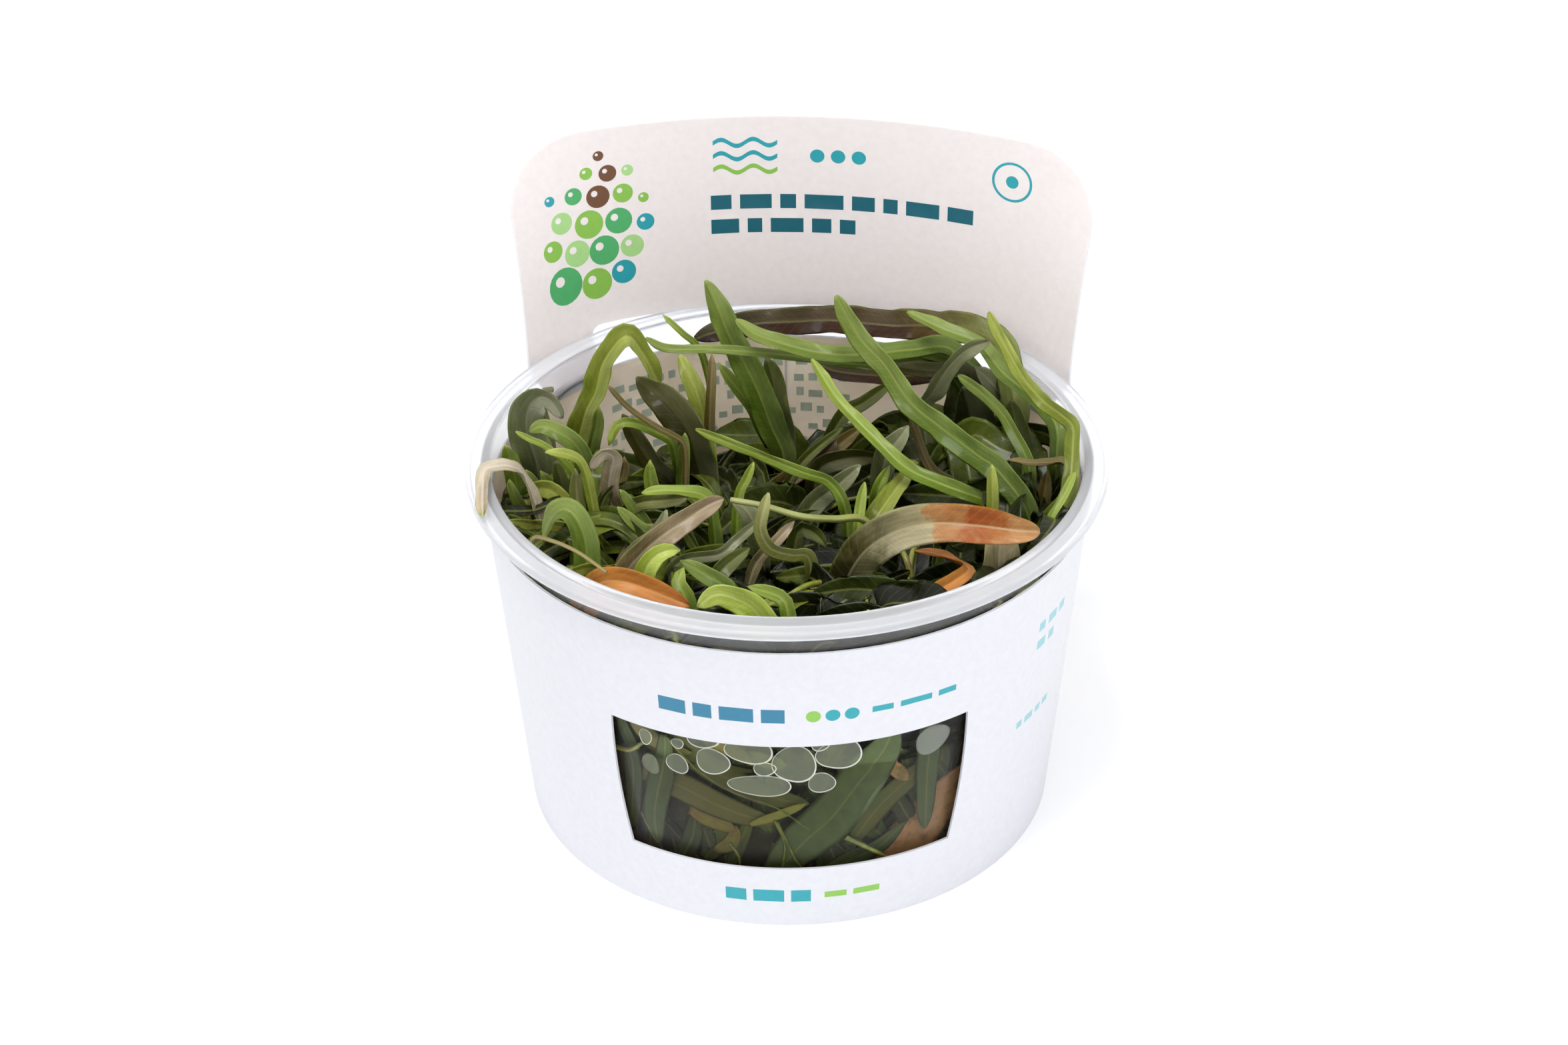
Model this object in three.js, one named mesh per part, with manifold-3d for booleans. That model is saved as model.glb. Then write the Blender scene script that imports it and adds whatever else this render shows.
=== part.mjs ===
// A tissue culture plant in its clear cup: the cup with its flange, the printed card sleeve with its
// header panel, the nutrient gel, the packed tangle of small leaves, and the leaves and stalks that
// stand clear of it. Millimetres, +Z up, the table at z = 0, the front of the cup towards -Y, and the
// origin under the middle of the cup.
import * as THREE from 'three';
import { mergeVertices } from 'three/addons/utils/BufferGeometryUtils.js';
import Module from 'manifold-3d';

const wasm = await Module();
wasm.setup();

// The cup: a tapered pot of 0.8 mm polypropylene, with a flat flange and a turned-down lip
const ROUND_STEPS = 44;
const FLANGE_RADIUS = 50;
const FLANGE_TOP = 60;
const FLANGE_INNER_RADIUS = 47.3;
const FLANGE_PLATE = 0.8;
const LIP_DROP = 1.5;
const LIP_WIDTH = 0.8;
const RIM_EDGE = 0.3;
const BEAD_RISE = 0.35;
const BEAD_OUTSIDE = 1;
const BEAD_INSIDE = 0.4;
const BEAD_DIP = 0.2;
const MOUTH_RADIUS = 46;
const WALL = 0.8;
const WALL_FOOT_RADIUS = 41.4;
const WALL_TOP_RADIUS = 46.9;
const WALL_TOP = 57.5;
const FOOT_RING_INNER = 30;
const BASE_RECESS = 0.6;
const BASE_TOP = 1.4;
const FOOT_EDGE = 1;

// The card: 0.4 mm board, wrapped round the cup as a tapered sleeve
const CARD = 0.4;
const SLEEVE_FOOT_RADIUS = 42.13;
const SLEEVE_TOP_RADIUS = 47.3;
const SLEEVE_TOP = 54.4;
const WINDOW_FOOT = 11.8;
const WINDOW_HEAD = 36.6;
const WINDOW_FOOT_HALF = 24.3;
const WINDOW_HEAD_HALF = 26.8;
const WINDOW_BOW = 0.6;
const WINDOW_SIDE_STEPS = 3;

// The header panel stands up from the back of the sleeve, outside the flange at both ends of its slot
const HEADER_TURN = THREE.MathUtils.degToRad(4.2);
const HEADER_FOOT = 60.65;
const HEADER_TOP = 95.3;
const HEADER_TOP_ARCH = 1.6;
const HEADER_BACK = 46.5;
const HEADER_HALF = 49.8;
const HEADER_FOOT_HALF = 51;
const HEADER_FLARE_TOP = 78;
const HEADER_CORNER = 13;
const HEADER_FOOT_BEND = 70;
const HEADER_EAR_BEND = 30;
const HEADER_BEND_CHANGE = 31;
const HEADER_TOP_BEND = 115;
const HEADER_ROWS = [66, 72];
const HEADER_COLUMNS = 16;
const CORNER_TURNS = [22, 44, 68, 90];
const SLOT_HALF = 36.5;
const EAR_CARD = 0.3;
const EAR_LAP = 1.2;
const EAR_INSET = 0.05;
const EAR_ROWS = [55.5, 56.6, 57.7];
const EAR_COLUMNS = 4;
const CARD_OUT_AT = 57.9;
const BEND_PROBE = 0.5;

// The gel fills the lower half of the cup, and the tangle stands in it
const GEL_TOP = 30;
const GAP = 0.3;
const LEAF_ROOM = 0.5;
const GEL_POCKET_FOOT = 6;
const GEL_POCKET_FOOT_RADIUS = 33;
const GEL_POCKET_TOP_RADIUS = 38;
const GEL_FOOT_EDGE = 1.2;
const TANGLE_STEPS = 28;
const TANGLE_MIDDLE = 43;
const TANGLE_SLOPE_FRONT = 0.17;
const TANGLE_SLOPE_RIGHT = 0.03;
const TANGLE_SIDE_RISE = 0.0045;
const TANGLE_LUMP = 1.5;
const TANGLE_HOLLOW = new THREE.Vector2(-22, 33);
const TANGLE_HOLLOW_RADIUS = 14;
const TANGLE_HOLLOW_DEPTH = 4.5;
const TANGLE_MOUNDS = [
  { x: -27, y: 0, radius: 9, rise: 7 },
  { x: -18, y: 12, radius: 7, rise: 6 },
  { x: 32, y: 18, radius: 9, rise: 7 },
];
const TANGLE_LEAST_TOP = 31.6;
const TANGLE_SHOULDER = 0.9;
const TANGLE_FOOT_INSET = 0.8;
const LUMP_RATE = { x: 0.35, y: 0.31, slantX: 0.21, slantY: 0.27 };
const TANGLE_RINGS = [43.2, 41.4, 35, 28, 21, 14, 7];

// Leaves are thin lance-shaped blades, a little folded along the midrib
const LEAF_STEP_LENGTH = 6.4;
const LEAF_FEWEST_STEPS = 6;
const LEAF_MOST_STEPS = 10;
const LEAF_THICKNESS = 0.5;
const LEAF_FOLD = 0.16;
const LEAF_BASE_SHARE = 0.45;
const LEAF_FULL_AT = 0.4;
const LEAF_TAPER = 0.25;
const LEAF_TAPER_BEND = 1.4;
const LEAF_TIP_ROUNDING = 1.5;
const LEAF_TIP_MOST = 0.4;
const STALK_TAPER = 0.4;
const LEAF_FACE = new THREE.Vector3(0, -0.84, 0.54);
const FACE_HELD_AT = 0.6;
const TWIST_PER_MM = THREE.MathUtils.degToRad(3.5);

const TONES = {
  green: 0x6f9a34,
  bright: 0x9cc23c,
  yellow_green: 0x8f9f33,
  olive: 0x5b6424,
  dark: 0x2f3a12,
  bronze: 0x5a3d17,
  brown: 0x75502c,
  purple: 0x8a6a58,
  beige: 0xc0ac7a,
  orange: 0xcd7a38,
  grey: 0x8a927c,
};

// Each leaf runs from its base in the tangle to its tip. turn is the roll of the blade in degrees.
const LEAVES = [
  { name: 'leaf_tall_left', tone: 'green', width: 4.9, turn: 15,
    path: [[-1, 27, 34], [-0.5, 27, 42.5], [-2.5, 27, 48.5], [-4.5, 26.8, 55], [-7, 26.8, 61],
      [-9.3, 27, 66], [-11, 27, 71], [-12.8, 27.5, 75.5]] },
  { name: 'leaf_bent_left', tone: 'yellow_green', width: 4.4, turn: -20,
    path: [[-34.5, 20, 33], [-34.5, 19.5, 45], [-32.5, 18.5, 55.5], [-30.5, 19, 60], [-29, 20, 65],
      [-25.5, 20.5, 69.3], [-23, 21.5, 65.7], [-20.5, 23, 59]] },
  { name: 'leaf_thin_curled', tone: 'green', width: 1.8, turn: 0,
    path: [[30.5, 27.5, 37], [29.5, 27, 52], [24, 27, 60], [13, 23.5, 62], [2.5, 23.5, 63.6],
      [-10.5, 24, 64.8], [-19, 24.5, 64.8], [-22.5, 25, 66.5]] },
  { name: 'leaf_back_light', tone: 'green', width: 3.4, turn: 25,
    path: [[33, 26, 37], [32, 29, 53], [27, 28, 62], [20, 25, 63.8], [12, 22, 64.7], [5, 21, 65.8],
      [-4, 22.5, 68], [-8, 24, 70.2]] },
  { name: 'leaf_bronze_arch', tone: 'bronze', width: 5.4, turn: 10,
    path: [[36, 19.5, 36], [36.7, 20, 50], [36.5, 21.5, 57.5], [33.5, 31, 62.3], [24, 36.8, 61.5],
      [17.5, 39, 60.5], [8, 41, 60.5], [2, 41, 60.3], [-6, 39.8, 60.5], [-12, 38, 60],
      [-15, 37, 59.5]] },
  { name: 'leaf_back_dark', tone: 'bronze', width: 3.8, turn: 20,
    path: [[26.5, 33, 35], [27, 32.5, 49], [25.5, 31, 55.5], [18.5, 29.5, 56.3], [12, 29.5, 56.8],
      [7.5, 30, 57.3], [4.8, 30.8, 58.5]] },
  { name: 'leaf_long_right', tone: 'green', width: 4.2, turn: -15,
    path: [[38, -8, 38], [37.5, -6.5, 51.5], [33, -2.5, 57.5], [29.5, 0.5, 59], [24.5, 5, 61],
      [19.5, 10, 63], [15.5, 14, 67.5], [11.5, 17, 71], [8, 19.5, 77]] },
  { name: 'leaf_narrow_right', tone: 'bright', width: 2.6, turn: 20,
    path: [[35.5, -2.5, 38], [34.8, -2, 49.5], [31.5, -1.5, 51.5], [24, -1, 54.5], [18.5, 0, 57],
      [13.5, 4.5, 60], [8, 10, 63.5], [4, 15, 68]] },
  { name: 'leaf_elbow_back', tone: 'green', width: 3.2, turn: 25,
    path: [[42, 4, 38], [42.3, 4, 55], [42.3, 5.5, 60.5], [40.5, 8.5, 62.5], [37.5, 10.5, 64.5],
      [34, 14, 66], [30.5, 19.5, 68], [25, 22.5, 69], [19.5, 26.5, 70]] },
  { name: 'leaf_elbow_front', tone: 'yellow_green', width: 2.6, turn: -25,
    path: [[38.5, -12, 38], [39.5, -11.8, 53], [42.7, -11.5, 58], [43.5, -9, 60.8], [44, -5, 63.5],
      [44.2, -2, 65.3], [42.5, -0.5, 66.6], [39.7, 0.5, 68.5], [37, 5, 69.8], [34.5, 11.5, 71.8],
      [32, 17.5, 74.8]] },
  { name: 'leaf_arching_right', tone: 'green', width: 2.3, turn: -20,
    path: [[38, 1, 37], [38, 1, 50], [38, 3, 55.3], [36, 7, 58.5], [34, 11, 60.3], [31, 15, 61.7],
      [27.5, 19, 62.5]] },
  { name: 'leaf_wet_grey', tone: 'grey', width: 3.8, turn: 30,
    path: [[24.5, 18, 34], [22.8, 17.5, 48], [21.8, 17, 57.5], [23.3, 16, 61.2], [25.6, 15.3, 66],
      [28.7, 15.5, 69.3], [32.3, 16, 70.5]] },
  { name: 'leaf_brown_hanging', tone: 'brown', width: 1.8, turn: 15,
    path: [[28.5, 8, 37], [27.5, 7.5, 47.5], [23, 9, 51], [21, 11, 55], [19.5, 12.5, 59.5]] },
  { name: 'leaf_short_right', tone: 'yellow_green', width: 2.2, turn: 10,
    path: [[31.5, -8, 38], [31.5, -8, 48], [31.6, -7.8, 55], [31.5, -6, 61]] },
  { name: 'leaf_olive_centre', tone: 'yellow_green', width: 3.6, turn: -15,
    path: [[13, -6, 38], [13, -6, 49], [15.5, -3, 52.5], [19.5, 5, 53.5]] },
  { name: 'leaf_curved_centre', tone: 'bright', width: 2, turn: 20,
    path: [[10.5, -9.5, 38], [10.8, -8.5, 50], [11.3, -6, 54.5], [12, -4.2, 57]] },
  { name: 'leaf_orange_right', tone: 'orange', width: 6.6, turn: 0,
    path: [[8, -17, 38], [8.2, -19, 45], [9.2, -20.5, 50.5], [12, -21.7, 56], [16.5, -23, 60],
      [22, -24.5, 62.2], [28, -26, 62.7], [34, -26, 61.8], [37.6, -24.8, 60.8]] },
  { name: 'leaf_beige_right', tone: 'beige', width: 7.4, turn: 10,
    path: [[32, -17, 38], [32, -19.5, 46], [32, -20.5, 52.5], [32, -19.5, 60]] },
  { name: 'leaf_orange_hook', tone: 'orange', width: 2.7, turn: 0,
    path: [[20.5, -29, 38], [20.2, -32.5, 48], [20.2, -33.5, 53], [22, -31.5, 54.5], [24.7, -29, 54.8],
      [27, -26.5, 55.3], [24.4, -24, 55.5], [21.8, -22.5, 55.5], [19.2, -21, 55]] },
  { name: 'leaf_orange_left', tone: 'orange', width: 4.6, turn: 5,
    path: [[-30, -27, 40], [-30, -28.5, 50], [-28.2, -30, 55.5], [-24.7, -31, 56.6],
      [-20.4, -32.3, 55.8], [-14.7, -33.8, 54]] },
  { name: 'leaf_pale_front', tone: 'bright', width: 4.6, turn: -10,
    path: [[-1, -34, 40], [-2, -35.5, 48], [-4.7, -35.7, 54], [-7.5, -36.2, 56.7], [-10.7, -36.5, 57.8],
      [-13.4, -37, 56]] },
  { name: 'leaf_purple_folded', tone: 'purple', width: 4.2, turn: 20,
    path: [[-24, -25, 39], [-25, -26, 48], [-24.5, -27, 55], [-21.8, -26.5, 58.7], [-18.5, -25.5, 61.3],
      [-14.7, -23.5, 63], [-12, -21.5, 63.8], [-9.7, -19.5, 63.8]] },
  { name: 'stalk_pale', tone: 'yellow_green', width: 1.5, stalk: true,
    path: [[13.5, -12.5, 38], [13.3, -12.5, 51], [11.5, -13, 55.7], [7, -15.6, 57.5], [2, -17.9, 59.5],
      [-3.8, -17.6, 61.3], [-8.6, -16.4, 61.6]] },
  { name: 'leaf_curl_centre', tone: 'yellow_green', width: 2.4, turn: -30,
    path: [[3, -18.5, 38], [3.4, -19, 48], [3, -19.8, 53.4], [0.5, -21.3, 54.8], [-2.6, -22.5, 56.8],
      [-4.1, -23, 60.4], [-3.6, -22.5, 63.5], [-2.8, -21, 65.7]] },
  { name: 'leaf_grey_wave', tone: 'grey', width: 2, turn: 10,
    path: [[-18.5, -20, 38], [-18.3, -20, 49], [-16, -20.3, 53.2], [-10.5, -20.6, 54.5],
      [-7.9, -19.2, 56], [-4.4, -16.2, 57.6]] },
  { name: 'leaf_arched_left', tone: 'green', width: 4.2, turn: 15,
    path: [[-30, -22.5, 39], [-30.4, -22, 50], [-30.6, -21, 57.5], [-32.2, -20, 61.5],
      [-34.1, -19, 61.7], [-35.9, -18, 59], [-37, -18, 55.3]] },
  { name: 'stalk_straw', tone: 'beige', width: 0.9, stalk: true,
    path: [[-37.5, -19.5, 38], [-38.6, -21, 53], [-38.3, -22.5, 58.8], [-35.5, -25.5, 60.5],
      [-31.3, -28.9, 60.6], [-26.8, -33.4, 59.9]] },
  { name: 'leaf_over_rim', tone: 'beige', width: 2.6, turn: 40,
    path: [[-37.5, -7, 38], [-38.5, -5.5, 51], [-40.8, -4.8, 59], [-42.8, -6.2, 61.6],
      [-44.5, -6.7, 61.9], [-46.3, -7.6, 61.7], [-46.4, -12, 61.4], [-45.8, -20, 61.3]] },
  { name: 'leaf_cut_left', tone: 'bright', width: 3.4, turn: 0,
    path: [[-41.5, 3, 38], [-42.4, 2, 52], [-43, -1.2, 59.8], [-43.4, -3.5, 63.8]] },
  { name: 'leaf_grey_cupped', tone: 'grey', width: 6.2, turn: 0,
    path: [[-39, 10, 45], [-39.8, 9.3, 53], [-41, 8.8, 58.8], [-40.5, 8, 63.5], [-38.5, 7, 66.3],
      [-36.5, 6, 66], [-35, 5, 63.5]] },
  { name: 'stalk_curled', tone: 'grey', width: 1.6, stalk: true,
    path: [[-37, 12, 36], [-37.3, 11.5, 54], [-38.4, 10.3, 62.7], [-38.2, 9.7, 65.6],
      [-36.7, 9, 66.4]] },
  { name: 'leaf_pink_tip', tone: 'purple', width: 3.3, turn: 20,
    path: [[-25, 1, 36], [-27, 0.3, 48], [-28, 0, 52.5], [-27.5, -0.5, 57], [-27, -1, 60],
      [-28.5, -1.5, 61.2], [-29.8, -2, 60], [-30.3, -2, 58.3]] },
  { name: 'leaf_bright_narrow', tone: 'bright', width: 2, turn: -20,
    path: [[9.5, -2.5, 38], [9.2, -1.8, 50], [6.7, 0.2, 54.3], [2.3, 1.2, 55.7], [-6.8, 4.3, 58.2],
      [-14.3, 6.4, 60.5]] },
  { name: 'leaf_yellow_back', tone: 'yellow_green', width: 3.6, turn: -10,
    path: [[-12, 17, 33], [-12.5, 16, 45], [-13.1, 17, 53], [-14, 18.5, 58.7], [-15.7, 20, 62.7],
      [-17, 21.5, 65.3]] },
  { name: 'leaf_dark_left', tone: 'dark', width: 3.6, turn: 20,
    path: [[-18, 16, 33], [-18.3, 14.5, 44.5], [-21.7, 13, 50], [-24.4, 12.5, 55.5], [-26, 12, 60]] },
  { name: 'leaf_dark_broad', tone: 'dark', width: 6.5, turn: -10,
    path: [[-12.5, 12.5, 34], [-13.5, 12.5, 46], [-14.6, 12.5, 52], [-15.8, 13, 56.5], [-19, 14, 60.8],
      [-21.6, 15, 62.7], [-23.7, 15, 65]] },
  { name: 'leaf_veined_left', tone: 'green', width: 2.3, turn: 0,
    path: [[-17.2, 10.6, 34], [-16.7, 10.3, 48], [-16.4, 9.4, 53], [-16.1, 9.3, 58]] },
  { name: 'leaf_brown_long', tone: 'brown', width: 1.1, turn: 10,
    path: [[-16.5, 5, 36], [-16.2, 6.5, 50], [-16.3, 7.4, 56.8], [-18.2, 7.2, 59], [-20.2, 7, 60.4],
      [-24.6, 6.5, 64.3], [-27.8, 6, 68.8]] },
  { name: 'leaf_cluster_arch', tone: 'green', width: 3.4, turn: 10,
    path: [[-30, 2, 36], [-30.5, 2, 48], [-31.4, 1.5, 55], [-31.9, 0.7, 59.2], [-33.3, 0, 62.3],
      [-35.9, 0, 64.3], [-38, 0.5, 64.7], [-39.9, 1, 63.6]] },
  { name: 'leaf_cluster_thin', tone: 'bright', width: 1.3, turn: -20,
    path: [[-30.5, -3.5, 38], [-31.3, -3, 50], [-33.4, -2.3, 58.3], [-37, -1.8, 62.3],
      [-39.5, -1.4, 63.6], [-41.9, -1, 64.8]] },
  { name: 'leaf_cluster_flat', tone: 'yellow_green', width: 2, turn: 30,
    path: [[-28.5, -5.5, 38], [-29.8, -5.5, 50], [-31, -5, 58.5], [-32.2, -5, 62], [-34.3, -5.4, 63.3],
      [-37.1, -6, 64]] },
  { name: 'leaf_bundle_rim', tone: 'green', width: 2.6, turn: -20,
    path: [[-39, -2.5, 38], [-40, -2, 48], [-42.3, -2.6, 54], [-43.2, -2.5, 57]] },
  { name: 'leaf_bundle_back', tone: 'green', width: 2.6, turn: 10,
    path: [[-35, 6, 34], [-36, 5.5, 43], [-39, 5.5, 48.5], [-41.3, 6, 53.5]] },
  { name: 'leaf_bundle_inner', tone: 'olive', width: 3, turn: -10,
    path: [[-34.5, 2.5, 36], [-34.7, 2.5, 47], [-35.2, 2.5, 52], [-36.2, 3, 57]] },
  { name: 'leaf_centre_fresh', tone: 'green', width: 2.2, turn: 20,
    path: [[-21.8, -3.2, 38], [-22.1, -3.3, 48], [-24, -3.7, 52], [-26, -4.2, 56]] },
  { name: 'leaf_centre_grey', tone: 'grey', width: 2.6, turn: -20,
    path: [[-26, -17.5, 40], [-25.2, -16.8, 50], [-20.1, -13.7, 54], [-18.5, -11.8, 57]] },
  { name: 'leaf_centre_veined', tone: 'green', width: 2.4, turn: 10,
    path: [[-19, -11, 38], [-19.6, -10.4, 49.5], [-23.2, -10, 53], [-26.2, -9.2, 56]] },
  { name: 'leaf_centre_flat', tone: 'bright', width: 2.4, turn: 30,
    path: [[-11, -5, 38], [-11.8, -4.8, 52], [-13.4, -4.6, 55.2], [-18.5, -6.3, 57],
      [-22.5, -6.6, 56.8]] },
  { name: 'leaf_centre_upright', tone: 'bright', width: 1.8, turn: 0,
    path: [[-8.2, -2, 38], [-7.7, -1.8, 52], [-6.3, -1.2, 56], [-5.2, -0.5, 58.5]] },
  { name: 'leaf_centre_low', tone: 'green', width: 2.4, turn: -25,
    path: [[-6.5, -24.5, 40], [-8.3, -23.7, 50], [-12.3, -23.2, 52], [-15.6, -24, 53]] },
  { name: 'leaf_folded_right', tone: 'brown', width: 2.4, turn: 50,
    path: [[40.8, -5, 38], [42, -4.2, 50], [43.2, -3.2, 55.8], [43.2, -2.4, 58.8], [40.7, -1.4, 58.4],
      [37.6, 0.2, 57.4], [34.6, 1.5, 57.2]] },
  { name: 'leaf_rim_right', tone: 'bright', width: 1.8, turn: -30,
    path: [[37, -17, 38], [38, -17, 48], [39.5, -16.5, 56], [42.6, -12.8, 60.5], [44, -10, 62]] },
  { name: 'leaf_dark_right', tone: 'dark', width: 8.5, turn: 15,
    path: [[31, 20.5, 35], [30.6, 21.4, 46], [30, 22.2, 52], [28.5, 23, 58]] },
  { name: 'leaf_wet_right', tone: 'olive', width: 6.5, turn: -20,
    path: [[37.5, 11, 36], [37.5, 11.5, 48], [37, 13, 52.5], [36.5, 14.2, 56.5], [35.8, 15.3, 60]] },
  { name: 'leaf_brown_centre', tone: 'brown', width: 3, turn: 10,
    path: [[-5, 12, 34], [-3.3, 12.6, 44], [5.3, 17.2, 48], [12, 19, 53]] },
  { name: 'leaf_wet_centre', tone: 'grey', width: 3, turn: -10,
    path: [[3, 1.2, 36], [3.6, 1.7, 46], [7.8, 3.2, 51], [11.5, 4.2, 55]] },
];

// A mesh's closed geometry, turned into a solid that can be joined or cut
function toSolid(geometry) {
  const bare = geometry.clone();
  bare.deleteAttribute('normal');
  bare.deleteAttribute('uv');
  const merged = mergeVertices(bare, 1e-5);
  return new wasm.Manifold(new wasm.Mesh({
    numProp: 3,
    vertProperties: new Float32Array(merged.attributes.position.array),
    triVerts: new Uint32Array(merged.index.array),
  }));
}

function toGeometry(solid) {
  const mesh = solid.getMesh();
  const geometry = new THREE.BufferGeometry();
  geometry.setAttribute('position', new THREE.BufferAttribute(mesh.vertProperties, 3));
  geometry.setIndex(new THREE.BufferAttribute(mesh.triVerts, 1));
  return geometry;
}

function fromPoints(points, triangles) {
  const geometry = new THREE.BufferGeometry();
  geometry.setAttribute('position', new THREE.Float32BufferAttribute(points.flat(), 3));
  geometry.setIndex(triangles.flat());
  return geometry;
}

// Turns a profile of [radius, height] points round the Z axis
function turned(profile) {
  const points = profile.map(([radius, height]) => new THREE.Vector2(radius, height));
  return new THREE.LatheGeometry(points, ROUND_STEPS).rotateX(Math.PI / 2);
}

function wallRadius(height) {
  return WALL_FOOT_RADIUS + (WALL_TOP_RADIUS - WALL_FOOT_RADIUS) * height / WALL_TOP;
}

function sleeveRadius(height) {
  return SLEEVE_FOOT_RADIUS + (SLEEVE_TOP_RADIUS - SLEEVE_FOOT_RADIUS) * height / SLEEVE_TOP;
}

function cupGeometry() {
  const plateBottom = FLANGE_TOP - FLANGE_PLATE;
  const lipBottom = FLANGE_TOP - LIP_DROP;
  return turned([
    [0, BASE_RECESS],
    [FOOT_RING_INNER, BASE_RECESS],
    [FOOT_RING_INNER + BASE_RECESS, 0],
    [WALL_FOOT_RADIUS - FOOT_EDGE, 0],
    [wallRadius(FOOT_EDGE), FOOT_EDGE],
    [WALL_TOP_RADIUS, WALL_TOP],
    [FLANGE_INNER_RADIUS, plateBottom],
    [FLANGE_RADIUS - LIP_WIDTH, plateBottom],
    [FLANGE_RADIUS - LIP_WIDTH, lipBottom],
    [FLANGE_RADIUS, lipBottom],
    [FLANGE_RADIUS, FLANGE_TOP - RIM_EDGE],
    [FLANGE_RADIUS - RIM_EDGE, FLANGE_TOP],
    [FLANGE_INNER_RADIUS, FLANGE_TOP],
    [MOUTH_RADIUS + BEAD_OUTSIDE, FLANGE_TOP + BEAD_RISE],
    [MOUTH_RADIUS + BEAD_INSIDE, FLANGE_TOP + BEAD_RISE],
    [MOUTH_RADIUS, FLANGE_TOP - BEAD_DIP],
    [WALL_TOP_RADIUS - WALL, WALL_TOP],
    [wallRadius(BASE_TOP + FOOT_EDGE) - WALL, BASE_TOP + FOOT_EDGE],
    [wallRadius(BASE_TOP) - WALL - FOOT_EDGE, BASE_TOP],
    [0, BASE_TOP],
  ]);
}

function sleeveSolid() {
  const ring = toSolid(turned([
    [SLEEVE_FOOT_RADIUS - CARD, 0],
    [SLEEVE_FOOT_RADIUS, 0],
    [SLEEVE_TOP_RADIUS, SLEEVE_TOP],
    [SLEEVE_TOP_RADIUS - CARD, SLEEVE_TOP],
    [SLEEVE_FOOT_RADIUS - CARD, 0],
  ]));
  const side = Array.from({ length: WINDOW_SIDE_STEPS + 1 }, (_, step) => {
    const share = step / WINDOW_SIDE_STEPS;
    const half = THREE.MathUtils.lerp(WINDOW_FOOT_HALF, WINDOW_HEAD_HALF, share);
    const height = THREE.MathUtils.lerp(WINDOW_FOOT, WINDOW_HEAD, share);
    return new THREE.Vector2(half + 4 * WINDOW_BOW * share * (1 - share), height);
  });
  const otherSide = side.map((point) => new THREE.Vector2(-point.x, point.y)).reverse();
  const outline = new THREE.Shape([...side, ...otherSide]);
  const cutter = new THREE.ExtrudeGeometry(outline, { depth: FLANGE_RADIUS, bevelEnabled: false });
  return ring.subtract(toSolid(cutter.rotateX(Math.PI / 2)));
}

// A point on the bent card at a distance along it from the header's middle, seen from above
function bendPoint(along, nearBend, farBend) {
  const side = Math.sign(along) || 1;
  const near = Math.min(Math.abs(along), HEADER_BEND_CHANGE);
  const far = Math.abs(along) - near;
  const nearAngle = near / nearBend;
  const farAngle = far / farBend;
  const chord = 2 * farBend * Math.sin(farAngle / 2);
  const x = nearBend * Math.sin(nearAngle) + chord * Math.cos(nearAngle + farAngle / 2);
  const y = HEADER_BACK - nearBend * (1 - Math.cos(nearAngle)) - chord * Math.sin(nearAngle + farAngle / 2);
  return new THREE.Vector2(side * x, y).rotateAround(new THREE.Vector2(), -HEADER_TURN);
}

// The card's centre line at a height: the sleeve's own circle low down, then out past the flange, then
// flatter and flatter towards the header's top edge
function cardPoint(along, height) {
  const low = bendPoint(along, HEADER_FOOT_BEND, HEADER_EAR_BEND);
  if (height >= HEADER_FOOT) {
    const high = bendPoint(along, HEADER_TOP_BEND, HEADER_TOP_BEND);
    return low.lerp(high, (height - HEADER_FOOT) / (HEADER_TOP - HEADER_FOOT));
  }
  const onSleeve = low.clone().setLength(sleeveRadius(Math.min(height, SLEEVE_TOP)) - CARD / 2);
  const rise = Math.max(height - SLEEVE_TOP, 0) / (CARD_OUT_AT - SLEEVE_TOP);
  return onSleeve.lerp(low, THREE.MathUtils.smoothstep(rise, 0, 1));
}

// A bent sheet of card through rows of points: each row is a height and the run it covers
function sheetGeometry(rows, columns, thickness) {
  const points = [];
  const across = columns + 1;
  for (const side of [1, -1]) {
    for (const row of rows) {
      for (let column = 0; column <= columns; column++) {
        const share = column / columns;
        const along = row.from + (row.to - row.from) * share;
        const height = row.height - row.arch * (2 * share - 1) ** 2;
        const here = cardPoint(along, height);
        const before = cardPoint(along - BEND_PROBE, height);
        const ahead = cardPoint(along + BEND_PROBE, height).sub(before).normalize();
        const offset = thickness / 2 * side;
        points.push([here.x - ahead.y * offset, here.y + ahead.x * offset, height]);
      }
    }
  }
  const back = rows.length * across;
  const triangles = [];
  const quad = (a, b, c, d) => triangles.push([a, b, c], [a, c, d]);
  for (let row = 0; row < rows.length - 1; row++) {
    for (let column = 0; column < columns; column++) {
      const a = row * across + column;
      quad(a, a + across, a + across + 1, a + 1);
      quad(back + a, back + a + 1, back + a + across + 1, back + a + across);
    }
    const left = row * across;
    const right = left + columns;
    quad(left, back + left, back + left + across, left + across);
    quad(right, right + across, back + right + across, back + right);
  }
  const last = (rows.length - 1) * across;
  for (let column = 0; column < columns; column++) {
    quad(column, column + 1, back + column + 1, back + column);
    quad(last + column, back + last + column, back + last + column + 1, last + column + 1);
  }
  return fromPoints(points, triangles);
}

function headerHalf(height) {
  const flare = Math.max(0, HEADER_FLARE_TOP - height) / (HEADER_FLARE_TOP - HEADER_FOOT);
  const corner = Math.max(0, height - (HEADER_TOP - HEADER_CORNER));
  const cut = HEADER_CORNER - Math.sqrt(HEADER_CORNER ** 2 - corner ** 2);
  return HEADER_HALF + (HEADER_FOOT_HALF - HEADER_HALF) * flare ** 2 - cut;
}

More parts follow.
